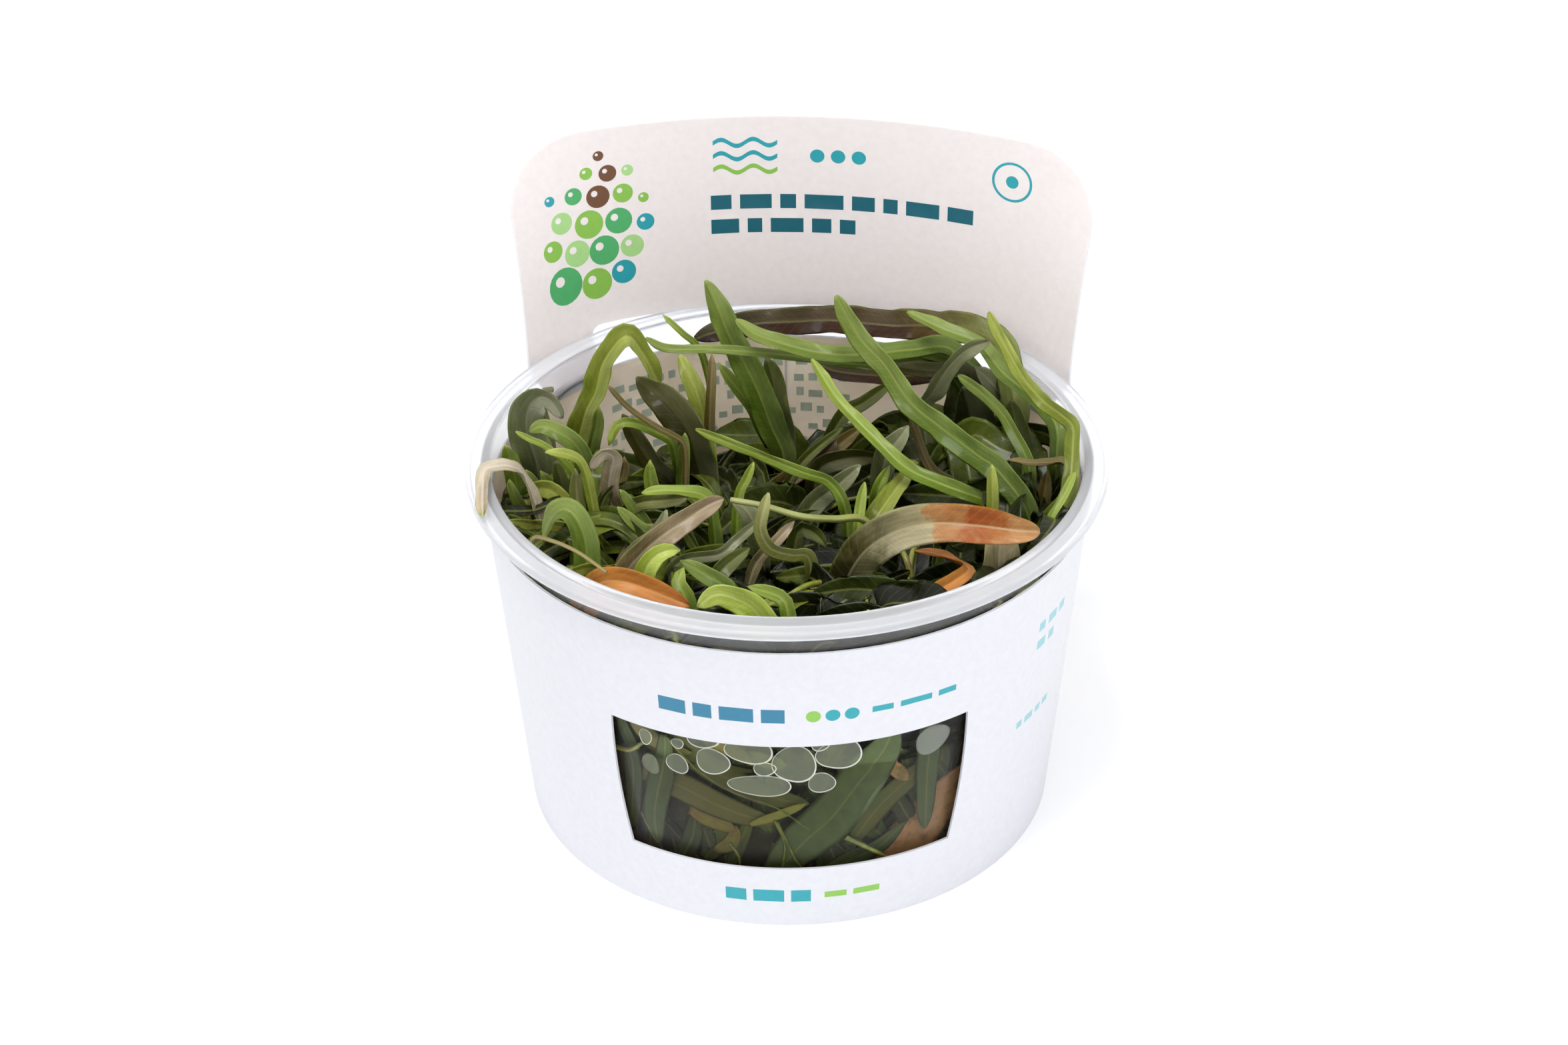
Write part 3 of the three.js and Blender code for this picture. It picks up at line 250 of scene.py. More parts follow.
# Name, look, width, turn of the blade in degrees, and the path from base to tip
LEAVES = [
    ("leaf_tall_left", "fresh", 4.9, 15,
     [(-1, 27, 34), (-0.5, 27, 42.5), (-2.5, 27, 48.5), (-4.5, 26.8, 55), (-7, 26.8, 61),
      (-9.3, 27, 66), (-11, 27, 71), (-12.8, 27.5, 75.5)]),
    ("leaf_bent_left", "yellowing", 4.4, -20,
     [(-34.5, 20, 33), (-34.5, 19.5, 45), (-32.5, 18.5, 55.5), (-30.5, 19, 60), (-29, 20, 65),
      (-25.5, 20.5, 69.3), (-23, 21.5, 65.7), (-20.5, 23, 59)]),
    ("leaf_thin_curled", "fresh", 1.8, 0,
     [(30.5, 27.5, 37), (29.5, 27, 52), (24, 27, 60), (13, 23.5, 62), (2.5, 23.5, 63.6),
      (-10.5, 24, 64.8), (-19, 24.5, 64.8), (-22.5, 25, 66.5)]),
    ("leaf_back_light", "fresh", 3.4, 25,
     [(33, 26, 37), (32, 29, 53), (27, 28, 62), (20, 25, 63.8), (12, 22, 64.7), (5, 21, 65.8),
      (-4, 22.5, 68), (-8, 24, 70.2)]),
    ("leaf_bronze_arch", "bronze", 5.4, 10,
     [(36, 19.5, 36), (36.7, 20, 50), (36.5, 21.5, 57.5), (33.5, 31, 62.3), (24, 36.8, 61.5),
      (17.5, 39, 60.5), (8, 41, 60.5), (2, 41, 60.3), (-6, 39.8, 60.5), (-12, 38, 60),
      (-15, 37, 59.5)]),
    ("leaf_back_dark", "bronze", 3.8, 20,
     [(26.5, 33, 35), (27, 32.5, 49), (25.5, 31, 55.5), (18.5, 29.5, 56.3), (12, 29.5, 56.8),
      (7.5, 30, 57.3), (4.8, 30.8, 58.5)]),
    ("leaf_long_right", "fresh", 4.2, -15,
     [(38, -8, 38), (37.5, -6.5, 51.5), (33, -2.5, 57.5), (29.5, 0.5, 59), (24.5, 5, 61),
      (19.5, 10, 63), (15.5, 14, 67.5), (11.5, 17, 71), (8, 19.5, 77)]),
    ("leaf_narrow_right", "young", 2.6, 20,
     [(35.5, -2.5, 38), (34.8, -2, 49.5), (31.5, -1.5, 51.5), (24, -1, 54.5), (18.5, 0, 57),
      (13.5, 4.5, 60), (8, 10, 63.5), (4, 15, 68)]),
    ("leaf_elbow_back", "fresh", 3.2, 25,
     [(42, 4, 38), (42.3, 4, 55), (42.3, 5.5, 60.5), (40.5, 8.5, 62.5), (37.5, 10.5, 64.5),
      (34, 14, 66), (30.5, 19.5, 68), (25, 22.5, 69), (19.5, 26.5, 70)]),
    ("leaf_elbow_front", "yellowing", 2.6, -25,
     [(38.5, -12, 38), (39.5, -11.8, 53), (42.7, -11.5, 58), (43.5, -9, 60.8), (44, -5, 63.5),
      (44.2, -2, 65.3), (42.5, -0.5, 66.6), (39.7, 0.5, 68.5), (37, 5, 69.8), (34.5, 11.5, 71.8),
      (32, 17.5, 74.8)]),
    ("leaf_arching_right", "fresh", 2.3, -20,
     [(38, 1, 37), (38, 1, 50), (38, 3, 55.3), (36, 7, 58.5), (34, 11, 60.3), (31, 15, 61.7),
      (27.5, 19, 62.5)]),
    ("leaf_wet_grey", "grey", 3.8, 30,
     [(24.5, 18, 34), (22.8, 17.5, 48), (21.8, 17, 57.5), (23.3, 16, 61.2), (25.6, 15.3, 66),
      (28.7, 15.5, 69.3), (32.3, 16, 70.5)]),
    ("leaf_brown_hanging", "brown", 1.8, 15,
     [(28.5, 8, 37), (27.5, 7.5, 47.5), (23, 9, 51), (21, 11, 55), (19.5, 12.5, 59.5)]),
    ("leaf_short_right", "yellowing", 2.2, 10,
     [(31.5, -8, 38), (31.5, -8, 48), (31.6, -7.8, 55), (31.5, -6, 61)]),
    ("leaf_olive_centre", "yellowing", 3.6, -15,
     [(13, -6, 38), (13, -6, 49), (15.5, -3, 52.5), (19.5, 5, 53.5)]),
    ("leaf_curved_centre", "young", 2, 20,
     [(10.5, -9.5, 38), (10.8, -8.5, 50), (11.3, -6, 54.5), (12, -4.2, 57)]),
    ("leaf_orange_right", "half_orange", 6.6, 0,
     [(8, -17, 38), (8.2, -19, 45), (9.2, -20.5, 50.5), (12, -21.7, 56), (16.5, -23, 60),
      (22, -24.5, 62.2), (28, -26, 62.7), (34, -26, 61.8), (37.6, -24.8, 60.8)]),
    ("leaf_beige_right", "bleached", 7.4, 10,
     [(32, -17, 38), (32, -19.5, 46), (32, -20.5, 52.5), (32, -19.5, 60)]),
    ("leaf_orange_hook", "orange", 2.7, 0,
     [(20.5, -29, 38), (20.2, -32.5, 48), (20.2, -33.5, 53), (22, -31.5, 54.5), (24.7, -29, 54.8),
      (27, -26.5, 55.3), (24.4, -24, 55.5), (21.8, -22.5, 55.5), (19.2, -21, 55)]),
    ("leaf_orange_left", "orange", 4.6, 5,
     [(-30, -27, 40), (-30, -28.5, 50), (-28.2, -30, 55.5), (-24.7, -31, 56.6), (-20.4, -32.3, 55.8),
      (-14.7, -33.8, 54)]),
    ("leaf_pale_front", "pale", 4.6, -10,
     [(-1, -34, 40), (-2, -35.5, 48), (-4.7, -35.7, 54), (-7.5, -36.2, 56.7), (-10.7, -36.5, 57.8),
      (-13.4, -37, 56)]),
    ("leaf_purple_folded", "purple", 4.2, 20,
     [(-24, -25, 39), (-25, -26, 48), (-24.5, -27, 55), (-21.8, -26.5, 58.7), (-18.5, -25.5, 61.3),
      (-14.7, -23.5, 63), (-12, -21.5, 63.8), (-9.7, -19.5, 63.8)]),
    ("stalk_pale", "stalk_green", 1.5, 0,
     [(13.5, -12.5, 38), (13.3, -12.5, 51), (11.5, -13, 55.7), (7, -15.6, 57.5), (2, -17.9, 59.5),
      (-3.8, -17.6, 61.3), (-8.6, -16.4, 61.6)]),
    ("leaf_curl_centre", "grey_green", 2.4, -30,
     [(3, -18.5, 38), (3.4, -19, 48), (3, -19.8, 53.4), (0.5, -21.3, 54.8), (-2.6, -22.5, 56.8),
      (-4.1, -23, 60.4), (-3.6, -22.5, 63.5), (-2.8, -21, 65.7)]),
    ("leaf_grey_wave", "grey", 2, 10,
     [(-18.5, -20, 38), (-18.3, -20, 49), (-16, -20.3, 53.2), (-10.5, -20.6, 54.5), (-7.9, -19.2, 56),
      (-4.4, -16.2, 57.6)]),
    ("leaf_arched_left", "fresh", 4.2, 15,
     [(-30, -22.5, 39), (-30.4, -22, 50), (-30.6, -21, 57.5), (-32.2, -20, 61.5), (-34.1, -19, 61.7),
      (-35.9, -18, 59), (-37, -18, 55.3)]),
    ("stalk_straw", "stalk_straw", 0.9, 0,
     [(-37.5, -19.5, 38), (-38.6, -21, 53), (-38.3, -22.5, 58.8), (-35.5, -25.5, 60.5),
      (-31.3, -28.9, 60.6), (-26.8, -33.4, 59.9)]),
    ("leaf_over_rim", "blush", 2.6, 40,
     [(-37.5, -7, 38), (-38.5, -5.5, 51), (-40.8, -4.8, 59), (-42.8, -6.2, 61.6), (-44.5, -6.7, 61.9),
      (-46.3, -7.6, 61.7), (-46.4, -12, 61.4), (-45.8, -20, 61.3)]),
    ("leaf_cut_left", "young", 3.4, 0,
     [(-41.5, 3, 38), (-42.4, 2, 52), (-43, -1.2, 59.8), (-43.4, -3.5, 63.8)]),
    ("leaf_grey_cupped", "hood", 6.2, 0,
     [(-39, 10, 45), (-39.8, 9.3, 53), (-41, 8.8, 58.8), (-40.5, 8, 63.5), (-38.5, 7, 66.3),
      (-36.5, 6, 66), (-35, 5, 63.5)]),
    ("stalk_curled", "grey", 1.6, 0,
     [(-37, 12, 36), (-37.3, 11.5, 54), (-38.4, 10.3, 62.7), (-38.2, 9.7, 65.6), (-36.7, 9, 66.4)]),
    ("leaf_pink_tip", "pink_tip", 3.3, 20,
     [(-25, 1, 36), (-27, 0.3, 48), (-28, 0, 52.5), (-27.5, -0.5, 57), (-27, -1, 60),
      (-28.5, -1.5, 61.2), (-29.8, -2, 60), (-30.3, -2, 58.3)]),
    ("leaf_bright_narrow", "young", 2, -20,
     [(9.5, -2.5, 38), (9.2, -1.8, 50), (6.7, 0.2, 54.3), (2.3, 1.2, 55.7), (-6.8, 4.3, 58.2),
      (-14.3, 6.4, 60.5)]),
    ("leaf_yellow_back", "yellowing", 3.6, -10,
     [(-12, 17, 33), (-12.5, 16, 45), (-13.1, 17, 53), (-14, 18.5, 58.7), (-15.7, 20, 62.7),
      (-17, 21.5, 65.3)]),
    ("leaf_dark_left", "umber", 3.6, 20,
     [(-18, 16, 33), (-18.3, 14.5, 44.5), (-21.7, 13, 50), (-24.4, 12.5, 55.5), (-26, 12, 60)]),
    ("leaf_dark_broad", "umber", 6.5, -10,
     [(-12.5, 12.5, 34), (-13.5, 12.5, 46), (-14.6, 12.5, 52), (-15.8, 13, 56.5), (-19, 14, 60.8),
      (-21.6, 15, 62.7), (-23.7, 15, 65)]),
    ("leaf_veined_left", "fresh", 2.3, 0,
     [(-17.2, 10.6, 34), (-16.7, 10.3, 48), (-16.4, 9.4, 53), (-16.1, 9.3, 58)]),
    ("leaf_brown_long", "brown", 1.1, 10,
     [(-16.5, 5, 36), (-16.2, 6.5, 50), (-16.3, 7.4, 56.8), (-18.2, 7.2, 59), (-20.2, 7, 60.4),
      (-24.6, 6.5, 64.3), (-27.8, 6, 68.8)]),
    ("leaf_cluster_arch", "fresh", 3.4, 10,
     [(-30, 2, 36), (-30.5, 2, 48), (-31.4, 1.5, 55), (-31.9, 0.7, 59.2), (-33.3, 0, 62.3),
      (-35.9, 0, 64.3), (-38, 0.5, 64.7), (-39.9, 1, 63.6)]),
    ("leaf_cluster_thin", "young", 1.3, -20,
     [(-30.5, -3.5, 38), (-31.3, -3, 50), (-33.4, -2.3, 58.3), (-37, -1.8, 62.3), (-39.5, -1.4, 63.6),
      (-41.9, -1, 64.8)]),
    ("leaf_cluster_flat", "yellowing", 2, 30,
     [(-28.5, -5.5, 38), (-29.8, -5.5, 50), (-31, -5, 58.5), (-32.2, -5, 62), (-34.3, -5.4, 63.3),
      (-37.1, -6, 64)]),
    ("leaf_bundle_rim", "fresh", 2.6, -20,
     [(-39, -2.5, 38), (-40, -2, 48), (-42.3, -2.6, 54), (-43.2, -2.5, 57)]),
    ("leaf_bundle_back", "fresh", 2.6, 10,
     [(-35, 6, 34), (-36, 5.5, 43), (-39, 5.5, 48.5), (-41.3, 6, 53.5)]),
    ("leaf_bundle_inner", "olive", 3, -10,
     [(-34.5, 2.5, 36), (-34.7, 2.5, 47), (-35.2, 2.5, 52), (-36.2, 3, 57)]),
    ("leaf_centre_fresh", "fresh", 2.2, 20,
     [(-21.8, -3.2, 38), (-22.1, -3.3, 48), (-24, -3.7, 52), (-26, -4.2, 56)]),
    ("leaf_centre_grey", "grey", 2.6, -20,
     [(-26, -17.5, 40), (-25.2, -16.8, 50), (-20.1, -13.7, 54), (-18.5, -11.8, 57)]),
    ("leaf_centre_veined", "fresh", 2.4, 10,
     [(-19, -11, 38), (-19.6, -10.4, 49.5), (-23.2, -10, 53), (-26.2, -9.2, 56)]),
    ("leaf_centre_flat", "young", 2.4, 30,
     [(-11, -5, 38), (-11.8, -4.8, 52), (-13.4, -4.6, 55.2), (-18.5, -6.3, 57), (-22.5, -6.6, 56.8)]),
    ("leaf_centre_upright", "young", 1.8, 0,
     [(-8.2, -2, 38), (-7.7, -1.8, 52), (-6.3, -1.2, 56), (-5.2, -0.5, 58.5)]),
    ("leaf_centre_low", "fresh", 2.4, -25,
     [(-6.5, -24.5, 40), (-8.3, -23.7, 50), (-12.3, -23.2, 52), (-15.6, -24, 53)]),
    ("leaf_folded_right", "brown", 2.4, 50,
     [(40.8, -5, 38), (42, -4.2, 50), (43.2, -3.2, 55.8), (43.2, -2.4, 58.8), (40.7, -1.4, 58.4),
      (37.6, 0.2, 57.4), (34.6, 1.5, 57.2)]),
    ("leaf_rim_right", "young", 1.8, -30,
     [(37, -17, 38), (38, -17, 48), (39.5, -16.5, 56), (42.6, -12.8, 60.5), (44, -10, 62)]),
    ("leaf_dark_right", "dark", 8.5, 15,
     [(31, 20.5, 35), (30.6, 21.4, 46), (30, 22.2, 52), (28.5, 23, 58)]),
    ("leaf_wet_right", "olive", 6.5, -20,
     [(37.5, 11, 36), (37.5, 11.5, 48), (37, 13, 52.5), (36.5, 14.2, 56.5), (35.8, 15.3, 60)]),
    ("leaf_brown_centre", "brown", 3, 10,
     [(-5, 12, 34), (-3.3, 12.6, 44), (5.3, 17.2, 48), (12, 19, 53)]),
    ("leaf_wet_centre", "grey", 3, -10,
     [(3, 1.2, 36), (3.6, 1.7, 46), (7.8, 3.2, 51), (11.5, 4.2, 55)]),
]


# Leaves low in the crowd that can still be told apart: look, width, turn in degrees, and path
LOW_LEAVES = [
    ("olive", 4.4, 15, [(-0.3, 29.5, 36), (-0.4, 29, 43.5), (-1.6, 28.8, 50), (-2.1, 28.8, 56),
                        (-3.2, 29, 60.5)]),
    ("brown", 1.8, 10, [(-12.5, 16.5, 46), (-12.3, 16.8, 57), (-12, 17.8, 62.5), (-11.8, 19.5, 66.5)]),
    ("young", 2.4, 20, [(-3, 28, 44), (-6, 28.5, 51.5), (-9, 29, 56), (-11, 29.5, 59)]),
    ("grey_green", 2.6, 0, [(-32, -4.5, 42), (-32.3, -4.2, 49), (-32.7, -3.9, 55), (-32.8, -3.6, 59.5)]),
    ("brown", 2.2, 0, [(-30, 2, 42), (-29.6, 2.5, 47), (-26.5, 3.5, 52.5), (-25.6, 3.5, 55),
                       (-25.5, 3, 57.5)]),
    ("fresh", 2.8, 0, [(-33.5, 4, 42), (-35.4, 4, 48), (-37.3, 4, 51.5), (-38.8, 4, 54.5)]),
    ("grey_green", 2.6, 10, [(-27, -2.5, 46), (-24.7, -3, 51.5), (-22.5, -4, 53.5), (-19, -5, 54.5),
                             (-15.6, -6, 55.5)]),
    ("pale", 3.4, 0, [(-22.3, -29.5, 50), (-21.5, -29.2, 56.5), (-20.2, -28.7, 59), (-18.3, -28, 60),
                      (-16.1, -27, 59.5)]),
    ("young", 3, 0, [(-14.5, -31.5, 47), (-15.2, -31, 53), (-16.4, -29.8, 55.5), (-15.6, -28, 57)]),
    ("fresh", 3, 0, [(-8, -29.5, 47), (-9.1, -29, 53.5), (-13, -27, 55.5), (-16.2, -26, 57)]),
    ("olive", 3, 0, [(-11.5, -27, 47), (-10.5, -26, 53.8), (-8.4, -24, 55.5), (-5.8, -22, 56.5)]),
    ("purple", 2, 0, [(-6.5, -20.5, 47), (-4.8, -20, 52.5), (-1.8, -19, 55.7), (1, -17, 58)]),
    ("grey", 3.4, 0, [(-3.5, -15.5, 48), (-5.1, -15, 56.2), (-6.5, -14, 58.5), (-8.7, -13, 59.7)]),
    ("young", 2.4, 0, [(1, -34.5, 46), (-0.1, -34, 52.6), (-1.2, -33, 54.9), (-6, -32, 56.2)]),
    ("olive", 3, 20, [(0.5, -14.5, 48), (1.8, -14, 54.6), (4.4, -14, 53.7), (5.9, -15, 52)]),
    ("grey", 4, -10, [(14.5, 5, 48), (15.6, 6, 55), (17.7, 7, 58), (19.2, 8, 59.8)]),
    ("grey", 3.6, 0, [(1, 1, 44), (4.1, 2, 49), (8, 3, 52), (11.6, 4, 55)]),
    ("brown", 2.6, 0, [(39.5, -1.5, 45), (40, -1, 50.8), (40.7, 0, 56.2)]),
    ("fresh", 3, 0, [(-33, 24.5, 38), (-32, 24, 46.5), (-30.9, 24, 51), (-30.5, 24, 54.5)]),
    ("young", 2.6, 0, [(-20.5, 4, 42), (-21.1, 4, 49.5), (-21.6, 4, 53), (-21.5, 4, 56.3)]),
    ("young", 1.2, 0, [(-12, 29.5, 52), (-13.8, 30, 61), (-16.8, 30, 64.6), (-19.9, 31, 67.4)]),
    ("young", 1.8, 0, [(-17, 10.5, 47), (-18.2, 10, 55.7), (-20.3, 9.5, 58), (-24.1, 8.5, 60.5),
                       (-26.7, 8, 60.3),
                       (-28.1, 7.5, 57)]),
    ("umber", 3.6, 20, [(4, 6.5, 46), (5.1, 7, 52.5), (9.9, 8, 54), (15, 8, 54)]),
    ("olive", 1.8, 0, [(-1.5, 11, 44), (2.7, 12, 51), (8.8, 13, 56.5)]),
    ("ruddy", 5, 0, [(2, 16, 42), (4.5, 16.5, 47), (8, 17.5, 51.5)]),
    ("olive", 2.6, 0, [(5, 21, 46), (9.5, 21, 54.3), (12.3, 20.5, 56.5), (16.8, 20, 60.6)]),
    ("grey", 4.6, 10, [(36.5, 22, 48), (35.1, 22, 55.7), (32.9, 22, 59.5), (30.4, 22, 62.3)]),
    ("young", 2.2, 0, [(13.5, 1.5, 45), (14.3, 2, 51.6), (16.1, 3, 55.5)]),
    ("fresh", 2.6, 10, [(33, 25, 50), (28.5, 26.5, 60), (25.7, 27, 61.3), (19.8, 27, 62.8),
                        (16.4, 26, 62.8)]),
    ("umber", 3, 10, [(34, 24, 48), (30, 25, 58.5), (27.8, 25, 60), (22.9, 25, 60), (17.3, 24, 61.4)]),
]

# How each kind of leaf looks: its slot in the record, the stops of its colour along the blade from base
# to tip, its midrib, and its wetness
LEAF_LOOKS = {
    "fresh": ("leaf_green", [(0, "#333e11"), (0.5, "#5b6f24"), (1, "#7b8a41")], "#8c9a48", 0.45),
    "young": ("leaf_bright", [(0, "#435113"), (0.5, "#6c8227"), (1, "#8c9b42")], "#9ead50", 0.45),
    "pale": ("leaf_bright", [(0, "#6b7829"), (0.5, "#a0b144"), (1, "#abb85a")], "#c4cc7c", 0.5),
    "yellowing": ("leaf_yellow_green",
                  [(0, "#454d17"), (0.55, "#727c27"), (1, "#98a048")], "#a4aa54", 0.45),
    "olive": ("leaf_olive", [(0, "#24270b"), (0.5, "#404617"), (1, "#59602c")], "#757a40", 0.7),
    "dark": ("leaf_dark", [(0, "#0e1006"), (0.5, "#1a1f0b"), (1, "#2a2f13")], "#41461f", 1),
    "umber": ("leaf_dark", [(0, "#151507"), (0.5, "#29280c"), (1, "#46411a")], "#4a4820", 0.3),
    "ruddy": ("leaf_bronze", [(0, "#120806"), (0.5, "#2a1410"), (1, "#3d2818")], "#4a3624", 0.8),
    "bronze": ("leaf_bronze",
               [(0, "#35330f"), (0.36, "#6c7438"), (0.5, "#524318"), (0.6, "#3b1e09"), (1, "#2a1305")],
               "#6a6630", 0.2),
    "brown": ("leaf_brown", [(0, "#2c2b0e"), (0.5, "#54461f"), (1, "#6a5832")], "#85794e", 0.4),
    "purple": ("leaf_purple", [(0, "#524f2a"), (0.5, "#7b6b4d"), (1, "#9a846f")], "#b8ac8c", 0.6),
    "bleached": ("leaf_beige", [(0, "#746c3f"), (0.5, "#ad9f7b"), (1, "#c7b895")], "#dbd0b2", 0.5),
    "blush": ("leaf_beige",
              [(0, "#6a6640"), (0.4, "#9c8f78"), (0.7, "#c4b6a8"), (0.92, "#b3a188"), (1, "#8a8a3c")],
              "#d5cabc", 0.5),
    "pink_tip": ("leaf_purple",
                 [(0, "#4c3f26"), (0.5, "#756345"), (0.72, "#ad9c86"), (1, "#c8bbab")], "#d0c4b2", 0.5),
    "orange": ("leaf_orange",
               [(0, "#9a7636"), (0.45, "#b47433"), (0.8, "#b8712f"), (1, "#a15a26")], "#cf9a5a", 0.3),
    "half_orange": ("leaf_orange",
                    [(0, "#2f300e"), (0.34, "#423e20"), (0.42, "#696242"), (0.5, "#958c70"),
                     (0.64, "#a49777"), (0.66, "#a8784c"), (0.74, "#a36a3e"), (0.78, "#934414"),
                     (0.86, "#9a521d"), (0.9, "#a97244"), (1, "#b08257")], "#b8ac82", 0.4),
    "grey": ("leaf_grey", [(0, "#3b3f20"), (0.5, "#5d6240"), (1, "#78795c")], "#94956e", 0.9),
    "hood": ("leaf_grey",
             [(0, "#5b6234"), (0.4, "#6a6e4c"), (0.75, "#82856a"), (1, "#8f8d76")], "#989a7c", 0.5),
    "grey_green": ("leaf_yellow_green",
                   [(0, "#454b1a"), (0.5, "#6c6f30"), (1, "#8a8a56")], "#a8a774", 0.6),
    "stalk_green": ("leaf_yellow_green",
                    [(0, "#717830"), (0.5, "#83873f"), (1, "#9b9e68")], "#aeb07a", 0.4),
    "stalk_straw": ("leaf_beige", [(0, "#70683c"), (0.6, "#918255"), (1, "#807448")], "#aa9e72", 0.3),
}
# The small leaves of the crowd, from the darkest tone to the lightest and to withered ones
SMALL_LEAF_TONES = [
    (0, "#0d0f05"), (0.2, "#1e240a"), (0.42, "#363f11"), (0.62, "#545e1b"), (0.78, "#707a2a"),
    (0.87, "#8b8f3d"), (0.93, "#5f4d28"), (1, "#84724e"),
]
# The same behind the window, painted paler and greyer: painted haze for the light that the hazy gel
# scatters
WINDOW_TONES = [
    (0, "#3b3d30"), (0.2, "#4d503d"), (0.4, "#5a6742"), (0.52, "#647448"), (0.62, "#727244"),
    (0.74, "#7d764a"), (0.84, "#989a48"), (0.92, "#92784f"), (1, "#dca673"),
]
# The imported growth above the gel and in it: above it, near black as painted shade for the crowd's
# depths; in it, paler as painted haze
PAINTED_SHADE_GROWTH = [
    (0.3, "#070803"), (0.45, "#10130a"), (0.55, "#1a1b0a"), (0.66, "#21180e"), (0.78, "#2d3012"),
]
PAINTED_HAZE_GROWTH = [
    (0.3, "#2e2f25"), (0.45, "#3e4031"), (0.55, "#494a35"), (0.66, "#51463a"), (0.78, "#5a5e40"),
]
STEM_TONES = [(0.35, "#5c6a1e"), (0.5, "#88902f"), (0.65, "#7a6a38")]
# Patterns of a blade in millimetres: the space between side veins, where the midrib starts and ends to
# fade, and a streak's width and length. The painted lit half (lighter and greyer, as painted light on
# the half of the folded blade that faces the light) starts at a share of the blade's width.
VEIN_SPACING = 1.7
RIB_FADE = (0.08, 0.26)
STREAK = (0.5, 5)
LIT_HALF_SPAN = (0.46, 0.54)
CELL_GLOW = (0.7, 1, 0.25)
SCRATCHES_PER_MM = 4

# Settings that many nodes share: a mix of two colours, a colour tinted by another, a step with soft
# ends, and a product
MIXED = {"data_type": "RGBA", "clamp_factor": True}
TINTED = {"data_type": "RGBA", "clamp_factor": True, "blend_type": "MULTIPLY"}
SOFT_STEP = {"interpolation_type": "SMOOTHSTEP"}
TIMES = {"operation": "MULTIPLY"}

# Clear sheets and gel show the white room far less in the photograph than a bare dielectric would
DIM_REFLECTION = (0.03, 0.03, 0.02, 1)
FULL_REFLECTION = (1, 1, 1, 1)
# The cup from the foot up: name, colour, roughness, light let through, reflection and refraction. The
# wall is wet on its inner face, so it bends and mirrors light less than the dry flange.
CUP_FINISHES = [
    ("clear_polypropylene_wall", "#fcfcfd", 0.04, 1, DIM_REFLECTION, 1.15),
    ("frosted_polypropylene_shoulder", "#f6f6f9", 0.2, 0.93, FULL_REFLECTION, 1.2),
    ("milky_polypropylene_flange", "#f8f9fd", 0.3, 0.68, FULL_REFLECTION, 1.3),
]
ZONE_LAP = 0.1

# Camera, in millimetres, and lights: place and width in metres, and power in watts
CAMERA_PLACE = (-0.56, -461.25, 340.72)
CAMERA_TARGET = (-0.56, 0, 47.02)
CAMERA_ROLL = math.radians(-0.525)
SENSOR_WIDTH = 36
LENS = 79.68
FLOOR_REACH = 4
ROOM_LIGHT = 0.85
SOFTBOX_TARGET = (0, 0, 0.05)
SOFTBOXES = [
    ("softbox_above", (-0.2, -0.2, 0.9), 0.4, 4.5),
    ("softbox_front_right", (0.4, -0.7, 0.8), 0.3, 3.5),
]


# Colours, nodes and materials

def linear(colour):
    """An sRGB hex colour as linear red, green, blue and alpha."""
    channels = [int(colour[i:i + 2], 16) / 255 for i in (1, 3, 5)]
    return tuple(c / 12.92 if c <= 0.04045 else ((c + 0.055) / 1.055) ** 2.4 for c in channels) + (1,)


def feed(tree, node, inputs):
    """Sets a node's inputs. Each is a value, an output socket, or a node whose first output feeds it."""
    for key, value in inputs.items():
        source = value.outputs[0] if isinstance(value, bpy.types.Node) else value
        if isinstance(source, bpy.types.NodeSocket):
            tree.links.new(source, node.inputs[key])
        else:
            node.inputs[key].default_value = source


def add_node(tree, kind, inputs=None, stops=(), **settings):
    """Adds a node with its settings, its links and, for a ramp, its stops of (place, hex colour)."""
    node = tree.nodes.new("ShaderNode" + kind)
    for name, value in settings.items():
        setattr(node, name, value)
    feed(tree, node, inputs or {})
    if stops:
        elements = node.color_ramp.elements
        while len(elements) < len(stops):
            elements.new(0.5)
        for element, (place, colour) in zip(elements, stops):
            element.position = place
            element.color = linear(colour)
    return node


def new_material(name, colour=None, **constants):
    """A material with a plain Principled shader, whose constant values are set by socket name."""
    material = bpy.data.materials.new(name)
    material.use_nodes = True
    shader = material.node_tree.nodes["Principled BSDF"]
    if colour:
        shader.inputs["Base Color"].default_value = linear(colour)
    for key, value in constants.items():
        shader.inputs[key.replace("_", " ")].default_value = value
    return material, material.node_tree, shader


def blotches(tree, size, detail=3, roughness=0.55):
    """A pattern from 0 to 1 on the piece itself, whose blotches are about size millimetres across."""
    place = add_node(tree, "TexCoord").outputs["Object"]
    inputs = {"Vector": place, "Scale": 1 / (size * MM), "Detail": detail, "Roughness": roughness}
    return add_node(tree, "TexNoise", inputs)


def shifted_by(tree, value, pattern, reach):
    """A value from 0 to 1 that a pattern moves up and down by half of reach."""
    centred = add_node(tree, "Math", {0: pattern, 1: 0.5}, operation="SUBTRACT")
    shift = add_node(tree, "Math", {0: centred, 1: reach}, **TIMES)
    return add_node(tree, "Math", {0: value, 1: shift}, operation="ADD", use_clamp=True)


def blade_veins(tree):
    """The midrib and the side veins of a blade, each from 0 to 1, from the blade's own millimetres."""
    blade_mm = add_node(tree, "UVMap", uv_map="blade_mm")
    side, station = add_node(tree, "SeparateXYZ", {0: blade_mm}).outputs[:2]
    across = add_node(tree, "Math", {0: side}, operation="ABSOLUTE")
    near, far = RIB_FADE
    rib = add_node(tree, "MapRange", {0: across, 1: near, 2: far, 3: 1, 4: 0}, **SOFT_STEP)
    # the side veins leave the midrib VEIN_SPACING apart and run forward at 45 degrees
    forward = add_node(tree, "Math", {0: station, 1: across}, operation="SUBTRACT")
    phase = add_node(tree, "Math", {0: forward, 1: 2 * math.pi / VEIN_SPACING}, **TIMES)
    crest = add_node(tree, "Math", {0: phase}, operation="SINE")
    return rib, add_node(tree, "MapRange", {0: crest, 1: 0.8, 2: 1}, **SOFT_STEP)


